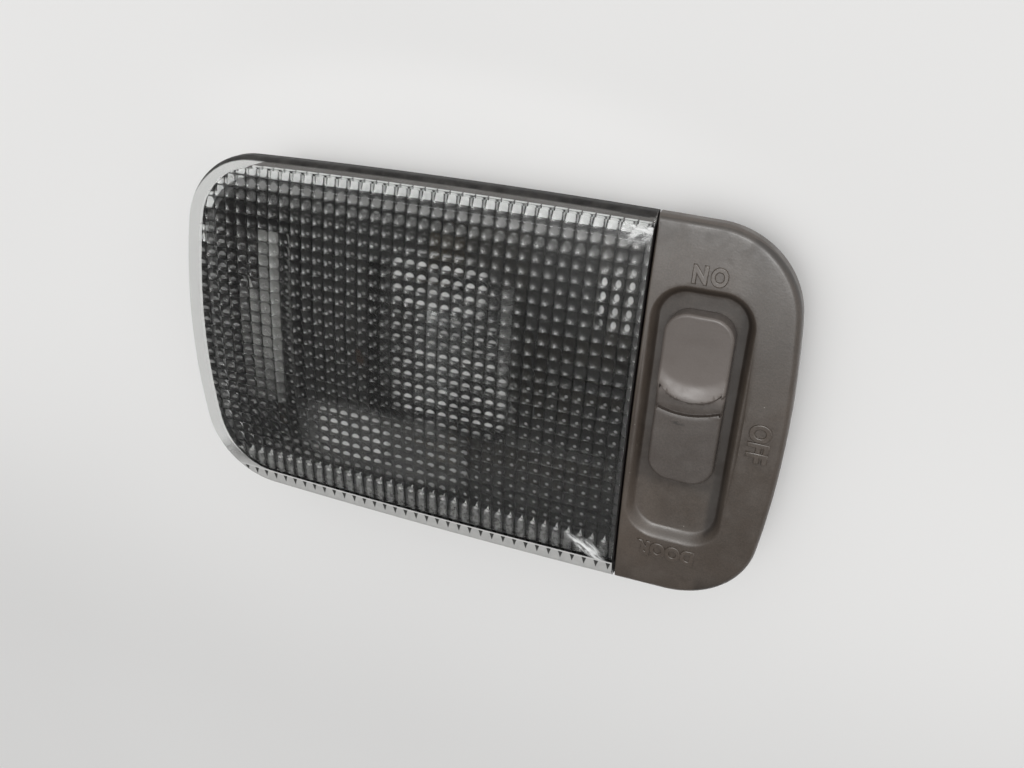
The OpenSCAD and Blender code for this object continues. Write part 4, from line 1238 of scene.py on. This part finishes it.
gx, gy = np.meshgrid(np.arange(-6, 6, 0.36), np.arange(-16, 16, 0.36))
P, T = fill(loops[-1], [], np.c_[gx.ravel(), gy.ravel()], 0.12, lines)
B.add(with_z(P + [KX, KY], knob_z(P)), T.tolist())
# underside and the stem through the slot
P, T = fill(loops[0], [], np.zeros((0, 2)), 0.2)
B.add(with_z(P + [KX, KY], Z0), T[:, ::-1].tolist())
stem = np.array([(-2.8, -4.5), (2.8, -4.5), (2.8, 4.5), (-2.8, 4.5)])
lo, hi = with_z(stem + [KX, KY], REC_Z - 4.0), with_z(stem + [KX, KY], Z0 + 0.3)
tip = with_z(stem * [0.86, 0.9] + [KX, KY], REC_Z - 4.4)
B.loft(lo, hi)
B.loft(tip, lo)
B.add(tip, [[3, 2, 1, 0]])
knob = B.make("switch_knob_moulded", knob_mat, sharp=42)
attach(knob, "slider")
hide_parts("switch_knob")

# ------------------------------------------------------------------ floor and light
me = bpy.data.meshes.new("floor")
s = 4.0
me.from_pydata([(-s, -s, 0), (s, -s, 0), (s, s, 0), (-s, s, 0)], [], [(0, 1, 2, 3)])
floor = bpy.data.objects.new("floor", me)
scene.collection.objects.link(floor)
m, nt, b = new_mat("floor_look")
v = coords(nt)
f = noise(nt, v, 3.0, 3)
# painted shade: the floor darkens towards the bottom; painted light: a lift just above the part
floor_light = combine(nt, "MULTIPLY", maprange(nt, xyz(nt, v)["Y"], -0.13, -0.01, 0.82, 1.0), maprange(nt, f, 0.3, 0.7, 0.82, 0.86))
floor_light = combine(nt, "MULTIPLY", floor_light, maprange(nt, blob(nt, v, -8.0, 34.0, 85.0, 26.0, -4), 0.0, 1.0, 1.0, 1.06))
nt.links.new(floor_light, b.inputs["Base Color"])
b.inputs["Roughness"].default_value = 0.7
paint(floor, m)

w = bpy.data.worlds.new("studio")
scene.world = w
w.use_nodes = True
nt = w.node_tree
bg = nt.nodes["Background"]
tc = nt.nodes.new("ShaderNodeTexCoord")
dot = nt.nodes.new("ShaderNodeVectorMath")
dot.operation = "DOT_PRODUCT"
L = Vector((0.03, 0.22, 0.975)).normalized()
dot.inputs[1].default_value = L
nt.links.new(tc.outputs["Generated"], dot.inputs[0])
cl = nt.nodes.new("ShaderNodeMath")
cl.operation = "MAXIMUM"
cl.inputs[1].default_value = 0.0
nt.links.new(dot.outputs["Value"], cl.inputs[0])
pw = nt.nodes.new("ShaderNodeMath")
pw.operation = "POWER"
pw.inputs[1].default_value = 26.0
nt.links.new(cl.outputs[0], pw.inputs[0])
dot2 = nt.nodes.new("ShaderNodeVectorMath")
dot2.operation = "DOT_PRODUCT"
dot2.inputs[1].default_value = Vector((0.45, 0.75, 0.35)).normalized()
nt.links.new(tc.outputs["Generated"], dot2.inputs[0])
side = maprange(nt, dot2.outputs["Value"], 0.0, 1.0, 0.14, 0.80)
ma = nt.nodes.new("ShaderNodeMath")
ma.operation = "MULTIPLY_ADD"
ma.inputs[1].default_value = 7.2
nt.links.new(pw.outputs[0], ma.inputs[0])
nt.links.new(side, ma.inputs[2])
total = ma.outputs[0]
for d_, amp, p_ in (((-0.02, 0.24, 0.97), 16.0, 420.0),):
    dn = nt.nodes.new("ShaderNodeVectorMath")
    dn.operation = "DOT_PRODUCT"
    dn.inputs[1].default_value = Vector(d_).normalized()
    nt.links.new(tc.outputs["Generated"], dn.inputs[0])
    q_ = combine(nt, "POWER", combine(nt, "MAXIMUM", dn.outputs["Value"], 0.0), p_)
    total = combine(nt, "ADD", total, combine(nt, "MULTIPLY", q_, amp))
nt.links.new(total, bg.inputs["Strength"])
bg.inputs["Color"].default_value = (1.0, 0.995, 0.985, 1)
scene.view_settings.view_transform = "Standard"
